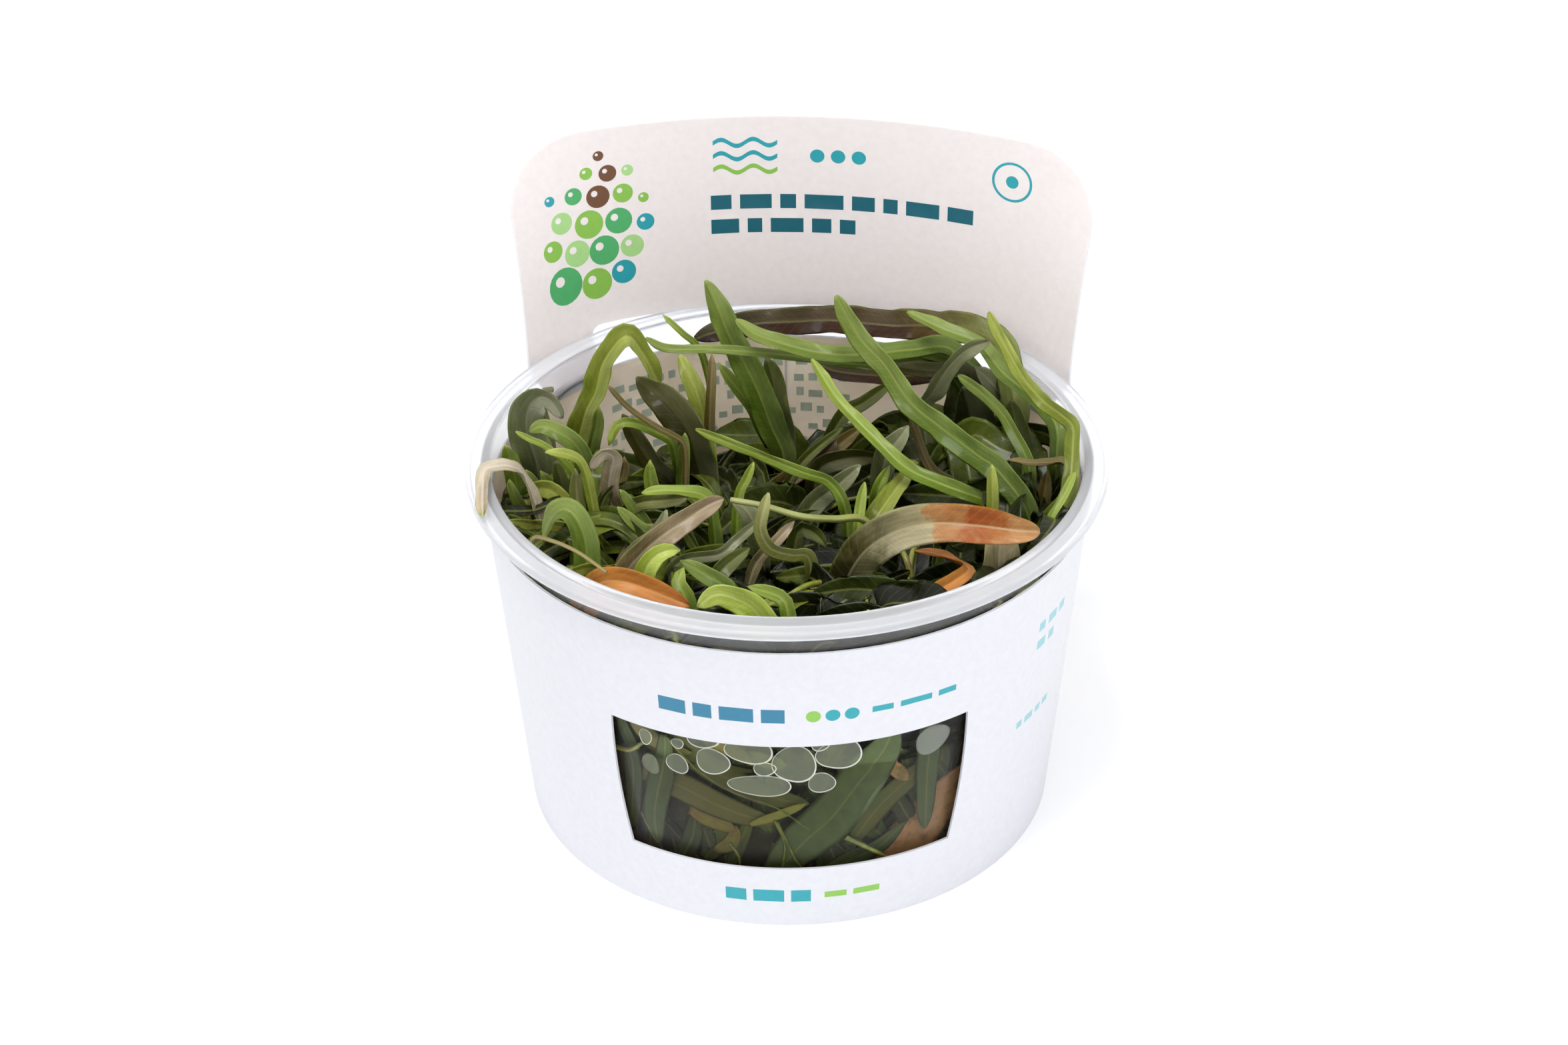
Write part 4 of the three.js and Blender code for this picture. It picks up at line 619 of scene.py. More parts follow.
def lengthwise_streaks(tree):
    """Noise drawn out along the blade, in streaks of about STREAK millimetres."""
    width, length = STREAK
    blade_mm = add_node(tree, "UVMap", uv_map="blade_mm")
    place = add_node(tree, "TexCoord").outputs["Object"]
    along_blade = add_node(tree, "VectorMath", {0: blade_mm, 1: (1 / width, 1 / length, 0)}, **TIMES)
    along_height = add_node(tree, "VectorMath", {0: place, 1: (0, 0, 40)}, **TIMES)
    both = add_node(tree, "VectorMath", {0: along_blade, 1: along_height}, operation="ADD")
    return add_node(tree, "TexNoise", {"Vector": both, "Scale": 1, "Detail": 3})


def leaf_material(name, stops, rib_colour, wetness):
    """Wet leaf blade: a thin waxy skin over soft cells. One half of the blade is painted lighter and
    greyer and the other darker, as painted light and shade on the folded blade; streaks of grain and
    painted wet sheen run along it, the midrib is paler, and water makes it glossy in places."""
    material, tree, shader = new_material(
        name, Specular_IOR_Level=0.14, Coat_Weight=0.3 * wetness, Coat_Roughness=0.12,
        Subsurface_Weight=0.2, Subsurface_Scale=0.7 * MM, Subsurface_Radius=CELL_GLOW)
    blade_share = add_node(tree, "UVMap", uv_map="blade_share")
    side, station = add_node(tree, "SeparateXYZ", {0: blade_share}).outputs[:2]
    mottle = blotches(tree, 2.6)
    streak = lengthwise_streaks(tree)
    toned = add_node(tree, "ValToRGB", {0: shifted_by(tree, station, mottle, 0.22)}, stops)
    # The streaks lighten and darken the colour along the blade: partly the blade's own grain, partly
    # painted wet sheen.
    shade = add_node(tree, "MapRange", {0: streak, 1: 0.3, 2: 0.7, 3: 0.8, 4: 1.15})
    grain_and_sheen = add_node(tree, "Mix", {0: 1, 6: toned, 7: shade}, **TINTED).outputs[2]
    # Painted light and shade: one half of the blade darkened, the other lightened and greyed.
    painted_shade_half = add_node(tree, "Mix", {0: 1, 6: grain_and_sheen, 7: linear("#e0e2d4")}, **TINTED).outputs[2]
    painted_lit_half = add_node(tree, "Mix", {0: 0.1, 6: grain_and_sheen, 7: linear("#a2a680")}, **MIXED).outputs[2]
    low, high = LIT_HALF_SPAN
    lit_side_share = add_node(tree, "MapRange", {0: side, 1: low, 2: high})
    lit_and_shaded = add_node(tree, "Mix", {0: lit_side_share, 6: painted_shade_half, 7: painted_lit_half}, **MIXED).outputs[2]
    rib, vein = blade_veins(tree)
    faint_vein = add_node(tree, "Math", {0: vein, 1: 0.07}, **TIMES)
    veined = add_node(tree, "Mix", {0: faint_vein, 6: lit_and_shaded, 7: linear(rib_colour)}, **MIXED).outputs[2]
    soft_rib = add_node(tree, "Math", {0: rib, 1: 0.42}, **TIMES)
    ribbed = add_node(tree, "Mix", {0: soft_rib, 6: veined, 7: linear(rib_colour)}, **MIXED).outputs[2]
    raised = add_node(tree, "Math", {0: vein, 1: 0.2}, **TIMES)
    height = add_node(tree, "Math", {0: raised, 1: streak}, operation="ADD")
    feed(tree, shader, {
        "Base Color": ribbed,
        "Roughness": add_node(tree, "MapRange", {0: mottle, 1: 0.3, 2: 0.7, 3: 0.3, 4: 0.55}),
        "Normal": add_node(tree, "Bump", {"Strength": 0.6, "Distance": 0.16 * MM, "Height": height}),
    })
    return material


def small_leaf_material(name, tones, wetness):
    """Small leaves of the crowd: the same wet blades, each in a tone from near black to straw. In the
    crowd that tone is darkened by painted shade.
    """
    material, tree, shader = new_material(
        name, Specular_IOR_Level=0.17, Coat_Weight=wetness, Coat_Roughness=0.16,
        Subsurface_Weight=0.15, Subsurface_Scale=0.6 * MM, Subsurface_Radius=CELL_GLOW)
    # The tone attribute: each blade's tone, in the crowd darkened by painted shade.
    tone_on_ramp = add_node(tree, "Attribute", attribute_name="tone_on_ramp").outputs["Fac"]
    mottle = blotches(tree, 1.8)
    toned = add_node(tree, "ValToRGB", {0: shifted_by(tree, tone_on_ramp, mottle, 0.3)}, tones)
    rib, vein = blade_veins(tree)
    lighter = add_node(tree, "Mix", {0: 0.4, 6: toned, 7: linear("#a2a45c")}, **MIXED).outputs[2]
    faint_vein = add_node(tree, "Math", {0: vein, 1: 0.12}, **TIMES)
    soft_rib = add_node(tree, "Math", {0: rib, 1: 0.6}, **TIMES)
    lines = add_node(tree, "Math", {0: faint_vein, 1: soft_rib}, operation="ADD")
    grain = blotches(tree, 0.6)
    feed(tree, shader, {
        "Base Color": add_node(tree, "Mix", {0: lines, 6: toned, 7: lighter}, **MIXED).outputs[2],
        "Roughness": add_node(tree, "MapRange", {0: mottle, 1: 0.3, 2: 0.7, 3: 0.3, 4: 0.5}),
        "Normal": add_node(tree, "Bump", {"Strength": 0.5, "Distance": 0.12 * MM, "Height": grain}),
    })
    return material


def packed_growth_material(name, stops):
    """Leaves, stems and roots too crowded to tell apart: wet, olive to brown in streaks, and painted
    near black as painted shade for the crowd's depths. Behind the hazy gel the same growth is painted
    paler, as painted haze."""
    material, tree, shader = new_material(name, Roughness=0.45, Coat_Weight=0.3)
    clumps = blotches(tree, 2, 5)
    feed(tree, shader, {
        "Base Color": add_node(tree, "ValToRGB", {0: blotches(tree, 3.5, 6, 0.7)}, stops),
        "Normal": add_node(tree, "Bump", {"Strength": 0.8, "Distance": 0.8 * MM, "Height": clumps}),
    })
    return material


def stem_material():
    """Stems: smooth juicy stalks, pale yellow-green and half see-through."""
    material, tree, shader = new_material(
        "juicy_stem", Roughness=0.35, Coat_Weight=0.4, Subsurface_Weight=0.3, Subsurface_Scale=0.8 * MM)
    feed(tree, shader, {"Base Color": add_node(tree, "ValToRGB", {0: blotches(tree, 4)}, STEM_TONES)})
    return material


def polypropylene_material(name, colour, roughness, through, reflection, ior):
    """Clear moulded polypropylene: see-through and a little milky, with a soft gloss from the mould."""
    return new_material(name, colour, Roughness=roughness, Transmission_Weight=through, IOR=ior,
                        Specular_Tint=reflection)[0]


def gel_material():
    """Nutrient gel: clear, wet and faintly olive, so that it swallows light with depth."""
    material, tree, _ = new_material("nutrient_gel", "#fdfdf6", IOR=1.34, Transmission_Weight=1,
                                     Roughness=0.03, Specular_Tint=DIM_REFLECTION)
    depth = add_node(tree, "VolumeAbsorption", {"Density": 130, "Color": linear("#bcb987")})
    feed(tree, tree.nodes["Material Output"], {"Volume": depth})
    return material


def air_film_material(name, colour, through):
    """The skin of an air bubble in the gel: a thin film that looks pale grey-green and half clear, with
    the fine level scratches that drying gel leaves."""
    material, tree, shader = new_material(
        name, colour, IOR=1.1, Roughness=0.2, Transmission_Weight=through)
    place = add_node(tree, "TexCoord").outputs["Object"]
    inputs = {"Vector": place, "Scale": SCRATCHES_PER_MM / MM / math.pi, "Distortion": 3}
    scratches = add_node(tree, "TexWave", inputs, bands_direction="Z")
    bump = add_node(tree, "Bump", {"Strength": 0.3, "Distance": 0.05 * MM, "Height": scratches})
    feed(tree, shader, {"Normal": bump})
    return material


def bubble_rim_highlight_material():
    """The meniscus round a bubble, painted near white as a fine bright line: a painted highlight for the
    light it catches.
    """
    return new_material("bubble_rim", "#fbfbf0", IOR=1.33, Roughness=0.2, Transmission_Weight=0.1)[0]


def card_material(name, colour, glow=0):
    """Coated white board, offset printed: smooth and half matt, with the faint mottle of its fibres. The
    header and the sleeve's lining glow with the daylight that comes through the thin board."""
    material, tree, shader = new_material(
        name, Roughness=0.42, Specular_IOR_Level=0.4, Subsurface_Weight=glow, Subsurface_Scale=0.8 * MM,
        Subsurface_Radius=(1, 0.95, 0.9))
    fibres = add_node(tree, "MapRange", {0: blotches(tree, 1.2, 4), 1: 0.3, 2: 0.7, 3: 0.965, 4: 1.02})
    grain = blotches(tree, 0.4)
    feed(tree, shader, {
        "Base Color": add_node(tree, "Mix", {0: 1, 6: linear(colour), 7: fibres}, **TINTED).outputs[2],
        "Normal": add_node(tree, "Bump", {"Strength": 0.15, "Distance": 0.03 * MM, "Height": grain}),
    })
    return material


# Meshes

def new_object(name, data):
    """An object with this data, in the scene."""
    thing = bpy.data.objects.new(name, data)
    bpy.context.scene.collection.objects.link(thing)
    return thing


def add_piece(name, points, faces, materials, slot, nodes=(), face_materials=None, layers=None,
              tones=None, sharp_from=None):
    """Makes a mesh from points in millimetres, puts it in the frame and hides the imported parts it
    stands for. Its slot is not used.
    """
    mesh = bpy.data.meshes.new(name)
    mesh.from_pydata((np.asarray(points, float) * MM).tolist(), [], faces)
    for material in materials:
        mesh.materials.append(material)
    if face_materials is not None:
        mesh.polygons.foreach_set("material_index", np.asarray(face_materials, np.int32))
    mesh.polygons.foreach_set("use_smooth", np.ones(len(mesh.polygons), bool))
    if sharp_from:
        mesh.set_sharp_from_angle(angle=math.radians(sharp_from))
    corners = np.zeros(len(mesh.loops), np.int32)
    mesh.loops.foreach_get("vertex_index", corners)
    for layer, values in (layers or {}).items():
        uv = mesh.uv_layers.new(name=layer)
        uv.data.foreach_set("uv", np.asarray(values, np.float32)[corners].ravel())
    if tones is not None:
        tone_on_ramp = mesh.attributes.new("tone_on_ramp", "FLOAT", "POINT")
        tone_on_ramp.data.foreach_set("value", np.asarray(tones, np.float32))
    mesh.update()
    piece = new_object(name, mesh)
    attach(piece, ROOT)
    if nodes:
        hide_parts(*nodes)


def add_skin(points, faces, more_points, more_faces):
    """Adds one skin's points and faces to the lists of others."""
    faces.extend(tuple(len(points) + corner for corner in face) for face in more_faces)
    points.extend(more_points)


def even_turns(steps):
    """Even angles once round a circle."""
    return np.linspace(0, 2 * math.pi, steps, endpoint=False)


def rounded(corners, steps=5):
    """An outline through (x, y, radius) corners, each softened by a curve of about that radius."""
    outline = []
    places = [np.array(corner[:2], float) for corner in corners]
    for index, place in enumerate(places):
        radius = corners[index][2]
        before = places[index - 1]
        after = places[(index + 1) % len(places)]
        if radius == 0:
            outline.append(place)
            continue
        start = place + (before - place) * min(0.5, radius / np.linalg.norm(before - place))
        end = place + (after - place) * min(0.5, radius / np.linalg.norm(after - place))
        for t in np.linspace(0, 1, steps):
            outline.append((1 - t) ** 2 * start + 2 * t * (1 - t) * place + t ** 2 * end)
    return outline


def lathe(profile, segments=ROUND_SEGMENTS):
    """Turns a profile of (radius, height) about Z. It starts and ends on the axis."""
    turns = even_turns(segments)
    points = [(0, 0, profile[0][1])]
    for radius, height in profile[1:-1]:
        points.extend(zip(radius * np.cos(turns), radius * np.sin(turns), [height] * segments))
    points.append((0, 0, profile[-1][1]))
    faces = []
    rings = len(profile) - 2
    last = len(points) - 1
    for i in range(segments):
        j = (i + 1) % segments
        faces.append((0, 1 + j, 1 + i))
        for ring in range(rings - 1):
            low = 1 + ring * segments
            high = low + segments
            faces.append((low + i, low + j, high + j, high + i))
        top = 1 + (rings - 1) * segments
        faces.append((top + i, top + j, last))
    return points, faces


def wall_radius(height):
    return WALL_FOOT_RADIUS + (WALL_TOP_RADIUS - WALL_FOOT_RADIUS) * height / WALL_TOP


def sleeve_radius(height):
    return SLEEVE_FOOT_RADIUS + (SLEEVE_TOP_RADIUS - SLEEVE_FOOT_RADIUS) * height / SLEEVE_TOP


def place_round(along, radius, height):
    """A place at a radius, by the distance round the sleeve from the front."""
    turn = along / SLEEVE_MIDDLE_RADIUS
    return (radius * math.sin(turn), -radius * math.cos(turn), height)


def on_inner_wall(along, height, inset):
    return place_round(along, wall_radius(height) - WALL - inset, height)


def make_cup():
    plate_foot = FLANGE_TOP - FLANGE_PLATE
    lip_foot = FLANGE_TOP - LIP_DROP
    outline = rounded([
        (0, BASE_RECESS, 0),
        (FOOT_RING_INNER, BASE_RECESS, 0.4),
        (FOOT_RING_INNER + BASE_RECESS, 0, 0.4),
        (wall_radius(0), 0, 1),
        (wall_radius(SLEEVE_TOP), SLEEVE_TOP, 0),
        (WALL_TOP_RADIUS, WALL_TOP, 1),
        (FLANGE_INNER_RADIUS, plate_foot, 0.4),
        (FLANGE_RADIUS - LIP_WIDTH, plate_foot, 0.2),
        (FLANGE_RADIUS - LIP_WIDTH, lip_foot, 0.2),
        (FLANGE_RADIUS, lip_foot, 0.2),
        (FLANGE_RADIUS, FLANGE_TOP, 0.5),
        (FLANGE_INNER_RADIUS + 0.3, FLANGE_TOP, 0.3),
        (MOUTH_RADIUS + 0.9, FLANGE_TOP + BEAD_RISE, 0.3),
        (MOUTH_RADIUS + 0.1, FLANGE_TOP + BEAD_RISE, 0.3),
        (MOUTH_RADIUS + 0.1, WALL_TOP, 0.8),
        (wall_radius(SLEEVE_TOP) - WALL, SLEEVE_TOP, 0),
        (wall_radius(BASE_TOP) - WALL, BASE_TOP, 1.5),
        (0, BASE_TOP, 0),
    ])
    points, faces = lathe(outline)
    finishes = [polypropylene_material(*finish) for finish in CUP_FINISHES]
    lowest = [min(points[corner][2] for corner in face) for face in faces]
    zones = [sum(height > start - ZONE_LAP for start in (SLEEVE_TOP, lip_foot)) for height in lowest]
    add_piece("cup_moulding", points, faces, finishes, "clear_polypropylene", ["cup"],
              face_materials=zones, sharp_from=40)


# The card: flat outlines are cut into triangles together with the printed shapes, then bent

def circle(x, y, radius, steps=20):
    return [(x + radius * math.cos(turn), y + radius * math.sin(turn)) for turn in even_turns(steps)]


def block(x, y, width, height):
    """A plain bar with its lower left corner at x, y."""
    return [(x, y), (x + width, y), (x + width, y + height), (x, y + height)]


def wave(x, y, length, rise, thick, periods, steps=12):
    """A wavy stripe that starts at x, y and runs to the right."""
    places = np.linspace(0, 1, int(periods * steps) + 1)
    foot = [(x + length * t, y + rise * math.sin(2 * math.pi * periods * t) - thick / 2) for t in places]
    return foot + [(px, py + thick) for px, py in foot[::-1]]


def bar_row(x, y, height, widths, space, ink):
    """A row of plain bars of several widths, in one ink."""
    shapes = []
    for width in widths:
        shapes.append((block(x, y, width, height), ink))
        x += width + space
    return shapes


def header_print():
    """The printed shapes of the header's front, each with its ink."""
    shapes = []
    for x, y, radius, ink in BUBBLE_CLUSTER:
        shapes.append((circle(x, y, radius), ink))
        shapes.append((circle(x - radius * 0.3, y + radius * 0.3, radius * 0.28, 10), "header"))
    for row, ink in enumerate(("teal", "teal", "leaf_green")):
        shapes.append((wave(-15, 90.6 - row * 2.4, 10.5, 0.6, 0.8, 2), ink))
    for column in range(3):
        shapes.append((circle(2 + column * 3.4, 88.2, 1.2, 16), "teal"))
    shapes += bar_row(-15.5, 78.6, 2.6, (3.4, 5.2, 2.6, 6.4, 3.8, 2.4, 5.6, 4.4), 1.4, "dark_teal")
    shapes += bar_row(-15.5, 74.2, 2.6, (4.6, 2.4, 5.4, 3.2, 2.6), 1.4, "dark_teal")
    shapes.append((circle(34.5, 87.6, 3.5, 32), "teal"))
    shapes.append((circle(34.5, 87.6, 3.05, 32), "header"))
    shapes.append((circle(34.5, 87.6, 1.1), "teal"))
    return shapes


def sleeve_print():
    """The printed shapes of the sleeve's outside, by the distance round it from the front."""
    shapes = []
    shapes += bar_row(-19.4, 41.2, 2.6, (4.2, 2.8, 5, 3.4), 1.1, "blue_teal")
    for column in range(3):
        shapes.append((circle(3.4 + column * 2.8, 42.4, 1.1, 16), "teal" if column else "leaf_green"))
    shapes += bar_row(12, 42, 1.1, (3.2, 5, 3), 1.1, "teal")
    shapes += bar_row(-10.6, 5, 2.4, (3.4, 5, 3.2), 1.1, "teal")
    shapes += bar_row(5.4, 5.6, 1.2, (3.6, 4.4), 1.1, "leaf_green")
    shapes += bar_row(43, 43.6, 1.7, (1.8, 2.6, 2), 1, "pale_teal")
    shapes += bar_row(43, 40.2, 1.7, (2.4, 1.8), 1, "pale_teal")
    shapes += bar_row(40, 26.6, 1.3, (1.4, 2.4, 1.6, 2), 0.8, "pale_teal")
    return shapes


def lining_print():
    """Faint rows of marks on the card's inside, seen through the cup at the back, on both sides of the
    seam."""
    seam = math.pi * SLEEVE_MIDDLE_RADIUS
    shapes = []
    for row in range(LINING_ROWS):
        foot = LINING_TOP_ROW - row * LINING_ROW_STEP
        for start, marks in ((seam - 11, 4), (0.5 - seam, 12)):
            along = start + (row * 3 % 5) * 0.4
            for column in range(marks):
                width = LINING_MARK_WIDTHS[(row * 2 + column) % 5]
                drop = LINING_MARK_DROPS[(row + column) % 4]
                if (row + 2 * column) % 7 != 3:
                    mark = block(along, foot + drop, width, LINING_MARK_HEIGHT + drop)
                    shapes.append((mark, "faint_green"))
                along += width + LINING_MARK_SPACE
    return shapes


def cut_flat(outline, holes, shapes, grid, bare):
    """Triangles of a flat outline, cut along its holes and its printed shapes, with a grid of points so
    that it bends smoothly. Gives the points, the triangles and the ink of each triangle."""
    points = []
    outlines = []
    for shape in [outline] + holes + [shape for shape, _ in shapes]:
        outlines.append(list(range(len(points), len(points) + len(shape))))
        points.extend(Vector(place) for place in shape)
    points.extend(Vector(place) for place in grid)
    flat, _, triangles, _, _, sources = geometry.delaunay_2d_cdt(points, [], outlines, 1, 1e-5)
    inks = [None] * (1 + len(holes)) + [ink for _, ink in shapes]
    kept = []
    kept_inks = []
    for triangle, source in zip(triangles, sources):
        if 0 not in source or any(1 <= number <= len(holes) for number in source):
            continue
        kept.append(tuple(triangle))
        printed = [number for number in source if number > len(holes)]
        kept_inks.append(inks[max(printed)] if printed else bare)
    return np.array([tuple(place) for place in flat]), kept, kept_inks


def open_edges(triangles):
    """The edges that only one of the triangles has, in the triangles' order."""
    edges = {pair: None for triangle in triangles for pair in zip(triangle, triangle[1:] + triangle[:1])}
    return [(a, b) for a, b in edges if (b, a) not in edges]


def two_sided(front, back, bend, thickness, inks):
    """Bends a front and a back sheet of the same outline into place, thickness apart, and closes their
    edges. Each sheet is (flat points, triangles, ink of each triangle)."""
    points = []
    faces = []
    face_inks = []
    edge_of = {}
    for side, (flat, triangles, sheet_inks) in ((1, front), (-1, back)):
        start = len(points)
        points.extend(bend(along, height, side * thickness / 2) for along, height in flat)
        faces.extend(tuple(start + corner for corner in triangle[::side]) for triangle in triangles)
        face_inks.extend(inks[ink] for ink in sheet_inks)
        for a, b in open_edges(triangles):
            key = tuple(sorted(tuple(np.round(flat[corner], 3)) for corner in (a, b)))
            edge_of.setdefault(key, {})[side] = (start + a, start + b)
    for sides in edge_of.values():
        if len(sides) == 2:
            a, b = sides[1]
            c, d = sides[-1]
            if math.dist(points[a], points[c]) > math.dist(points[a], points[d]):
                c, d = d, c
            faces.append((b, a, c, d))
            face_inks.append(inks["bare"])
    return points, faces, face_inks


def spaced(low, high, step):
    return np.linspace(low, high, max(1, round((high - low) / step)) + 1)


def mirrored(outline):
    """The same stretch of an outline on the other side of the middle, run through backwards."""
    return [(-along, height) for along, height in outline[::-1]]


def sleeve_bend(along, height, out):
    return place_round(along, sleeve_radius(height) - CARD / 2 + out, height)


def window_outline():
    """The window's edge on the sleeve: it is cut straight through from the front."""
    def around(x, height):
        return (math.asin(x / sleeve_radius(height)) * SLEEVE_MIDDLE_RADIUS, height)

    foot = [around(x, WINDOW_FOOT) for x in spaced(-WINDOW_FOOT_HALF, WINDOW_FOOT_HALF, 1.2)]
    head = [around(x, WINDOW_HEAD) for x in spaced(WINDOW_HEAD_HALF, -WINDOW_HEAD_HALF, -1.2)]
    sides = []
    for height in spaced(WINDOW_FOOT, WINDOW_HEAD, 2)[1:-1]:
        share = (height - WINDOW_FOOT) / (WINDOW_HEAD - WINDOW_FOOT)
        half = WINDOW_FOOT_HALF + (WINDOW_HEAD_HALF - WINDOW_FOOT_HALF) * share
        bow = 4 * WINDOW_BOW * share * (1 - share)
        sides.append(around(half + bow, height))
    return foot + sides + head + mirrored(sides)


def sleeve_sheets():
    """The sleeve's outside and inside, flat, from one edge at the back to the other."""
    end = math.pi * SLEEVE_MIDDLE_RADIUS
    foot = [(along, 0) for along in spaced(-end, end, CARD_GRID)]
    right = [(end, height) for height in spaced(0, SLEEVE_TOP, CARD_GRID)[1:-1]]
    head = [(along, SLEEVE_TOP) for along in spaced(end, -end, -CARD_GRID)]
    left = [(-end, height) for height in spaced(SLEEVE_TOP, 0, -CARD_GRID)[1:-1]]
    grid = [(along, height) for along, _ in foot[1:-1] for _, height in right]
    window = window_outline()
    outside = cut_flat(foot + right + head + left, [window], sleeve_print(), grid, "bare")
    inside = cut_flat(foot + right + head + left, [window], lining_print(), grid, "lining")
    return outside, inside


def bend_point(along, near_bend, far_bend):
    """A point on the bent card, seen from above, at a distance along it from the header's middle."""
    side = -1 if along < 0 else 1
    near = min(abs(along), HEADER_BEND_CHANGE)
    far_angle = (abs(along) - near) / far_bend
    near_angle = near / near_bend
    chord = 2 * far_bend * math.sin(far_angle / 2)
    heading = near_angle + far_angle / 2
    x = side * (near_bend * math.sin(near_angle) + chord * math.cos(heading))
    y = HEADER_BACK - near_bend * (1 - math.cos(near_angle)) - chord * math.sin(heading)
    c = math.cos(-HEADER_TURN)
    s = math.sin(-HEADER_TURN)
    return np.array((x * c - y * s, x * s + y * c))


def card_point(along, height):
    """The card's centre line at a height: the sleeve's circle, out past the flange, then flatter."""
    low = bend_point(along, HEADER_FOOT_BEND, HEADER_EAR_BEND)
    if height >= HEADER_FOOT:
        high = bend_point(along, HEADER_TOP_BEND, HEADER_TOP_BEND)
        return low + (high - low) * (height - HEADER_FOOT) / (HEADER_TOP - HEADER_FOOT)
    on_sleeve = low / np.linalg.norm(low) * (sleeve_radius(min(height, SLEEVE_TOP)) - CARD / 2)
    rise = min(1, max(height - SLEEVE_TOP, 0) / (CARD_OUT_AT - SLEEVE_TOP))
    return on_sleeve + (low - on_sleeve) * rise * rise * (3 - 2 * rise)


def header_half(height):
    flare = max(0, HEADER_FLARE_TOP - height) / (HEADER_FLARE_TOP - HEADER_FOOT)
    corner = max(0, height - (HEADER_TOP - HEADER_CORNER))
    cut = HEADER_CORNER - math.sqrt(max(0, HEADER_CORNER ** 2 - corner ** 2))
    return HEADER_HALF + (HEADER_FOOT_HALF - HEADER_HALF) * flare ** 2 - cut


def header_bend(along, height, out):
    """Bends a flat place of the header sheet; out is towards the plants."""
    share = max(0, height - HEADER_FOOT) / (HEADER_TOP - HEADER_FOOT)
    lowered = height - HEADER_TOP_ARCH * share ** 3 * (along / HEADER_HALF) ** 2
    here = card_point(along, lowered)
    ahead = card_point(along + 0.5, lowered) - card_point(along - 0.5, lowered)
    ahead = ahead / np.linalg.norm(ahead)
    return (here[0] + ahead[1] * out, here[1] - ahead[0] * out, lowered)


def header_sheets():
    """The header's front and back, flat, with the two ears that run down to the sleeve."""
    ear_foot = SLEEVE_TOP - EAR_LAP
    straight_top = HEADER_TOP - HEADER_CORNER
    heights = spaced(ear_foot, straight_top, HEADER_EDGE_STEP)
    right = [(header_half(max(height, HEADER_FOOT)) - EAR_INSET, height) for height in heights]
    for degrees in range(8, 90, 8):
        height = straight_top + HEADER_CORNER * math.sin(math.radians(degrees))
        right.append((header_half(height), height))
    top_half = HEADER_HALF - HEADER_CORNER
    top = [(along, HEADER_TOP) for along in spaced(top_half, -top_half, -CARD_GRID)]
    slot = [(-SLOT_HALF, height) for height in spaced(ear_foot, HEADER_FOOT - SLOT_CORNER, 1)]
    for turn in (math.radians(67), math.radians(45), math.radians(22)):
        inward = SLOT_CORNER * (1 - math.sin(turn))
        slot.append((-SLOT_HALF + inward, HEADER_FOOT - SLOT_CORNER * (1 - math.cos(turn))))
    slot += [(along, HEADER_FOOT) for along in spaced(-SLOT_HALF + SLOT_CORNER, 0, CARD_GRID)[:-1]]
    outline = right + top + mirrored(right) + slot + [(0, HEADER_FOOT)] + mirrored(slot)
    grid = []
    for height in spaced(ear_foot, HEADER_TOP, HEADER_GRID)[1:-1]:
        half = header_half(max(height, HEADER_FOOT)) - GRID_MARGIN
        for along in spaced(-HEADER_FOOT_HALF, HEADER_FOOT_HALF, CARD_GRID):
            if abs(along) < half and (height > HEADER_FOOT + 0.5 or abs(along) > SLOT_HALF + 0.6):
                grid.append((along, height))
    # The header's front is cut in the header ink: the bare board with painted shade.
    return cut_flat(outline, [], header_print(), grid, "header"), cut_flat(outline, [], [], grid, "bare")


def make_card():
    materials = []
    for name, colour in CARD_INKS.items():
        materials.append(card_material("coated_board_" + name, colour, int(name in SEEN_THROUGH)))
    inks = {name: index for index, name in enumerate(CARD_INKS)}
    points, faces, face_inks = two_sided(*sleeve_sheets(), sleeve_bend, CARD, inks)
    header_points, header_faces, header_inks = two_sided(*header_sheets(), header_bend, SHEET_CARD, inks)
    add_skin(points, faces, header_points, header_faces)
    add_piece("printed_card", points, faces, materials, "printed_card", ["card_sleeve"],
              face_materials=face_inks + header_inks, sharp_from=35)


# Leaves

def smooth_path(path, station):
    """Even places along the curve through a path's points, the tangents there, and its length."""
    given = np.array(path, float)
    ends = np.vstack([2 * given[0] - given[1], given, 2 * given[-1] - given[-2]])
    at = np.linspace(0, len(given) - 1, CURVE_SAMPLES)
    part = np.minimum(at.astype(int), len(given) - 2)
    t = (at - part)[:, None]
    a, b, c, d = (ends[part + step] for step in range(4))
    slope_b = (c - a) / 2
    slope_c = (d - b) / 2
    curve = ((2 * b - 2 * c + slope_b + slope_c) * t ** 3
             + (3 * c - 3 * b - 2 * slope_b - slope_c) * t ** 2 + slope_b * t + b)
    lengths = np.concatenate([[0], np.cumsum(np.linalg.norm(np.diff(curve, axis=0), axis=1))])
    stations = max(6, round(lengths[-1] / station))
    even = np.linspace(0, lengths[-1], stations + 1)
    places = np.stack([np.interp(even, lengths, curve[:, axis]) for axis in range(3)], axis=1)
    tangents = np.gradient(places, axis=0)
    tangents /= np.linalg.norm(tangents, axis=1)[:, None]
    return places, tangents, lengths[-1]


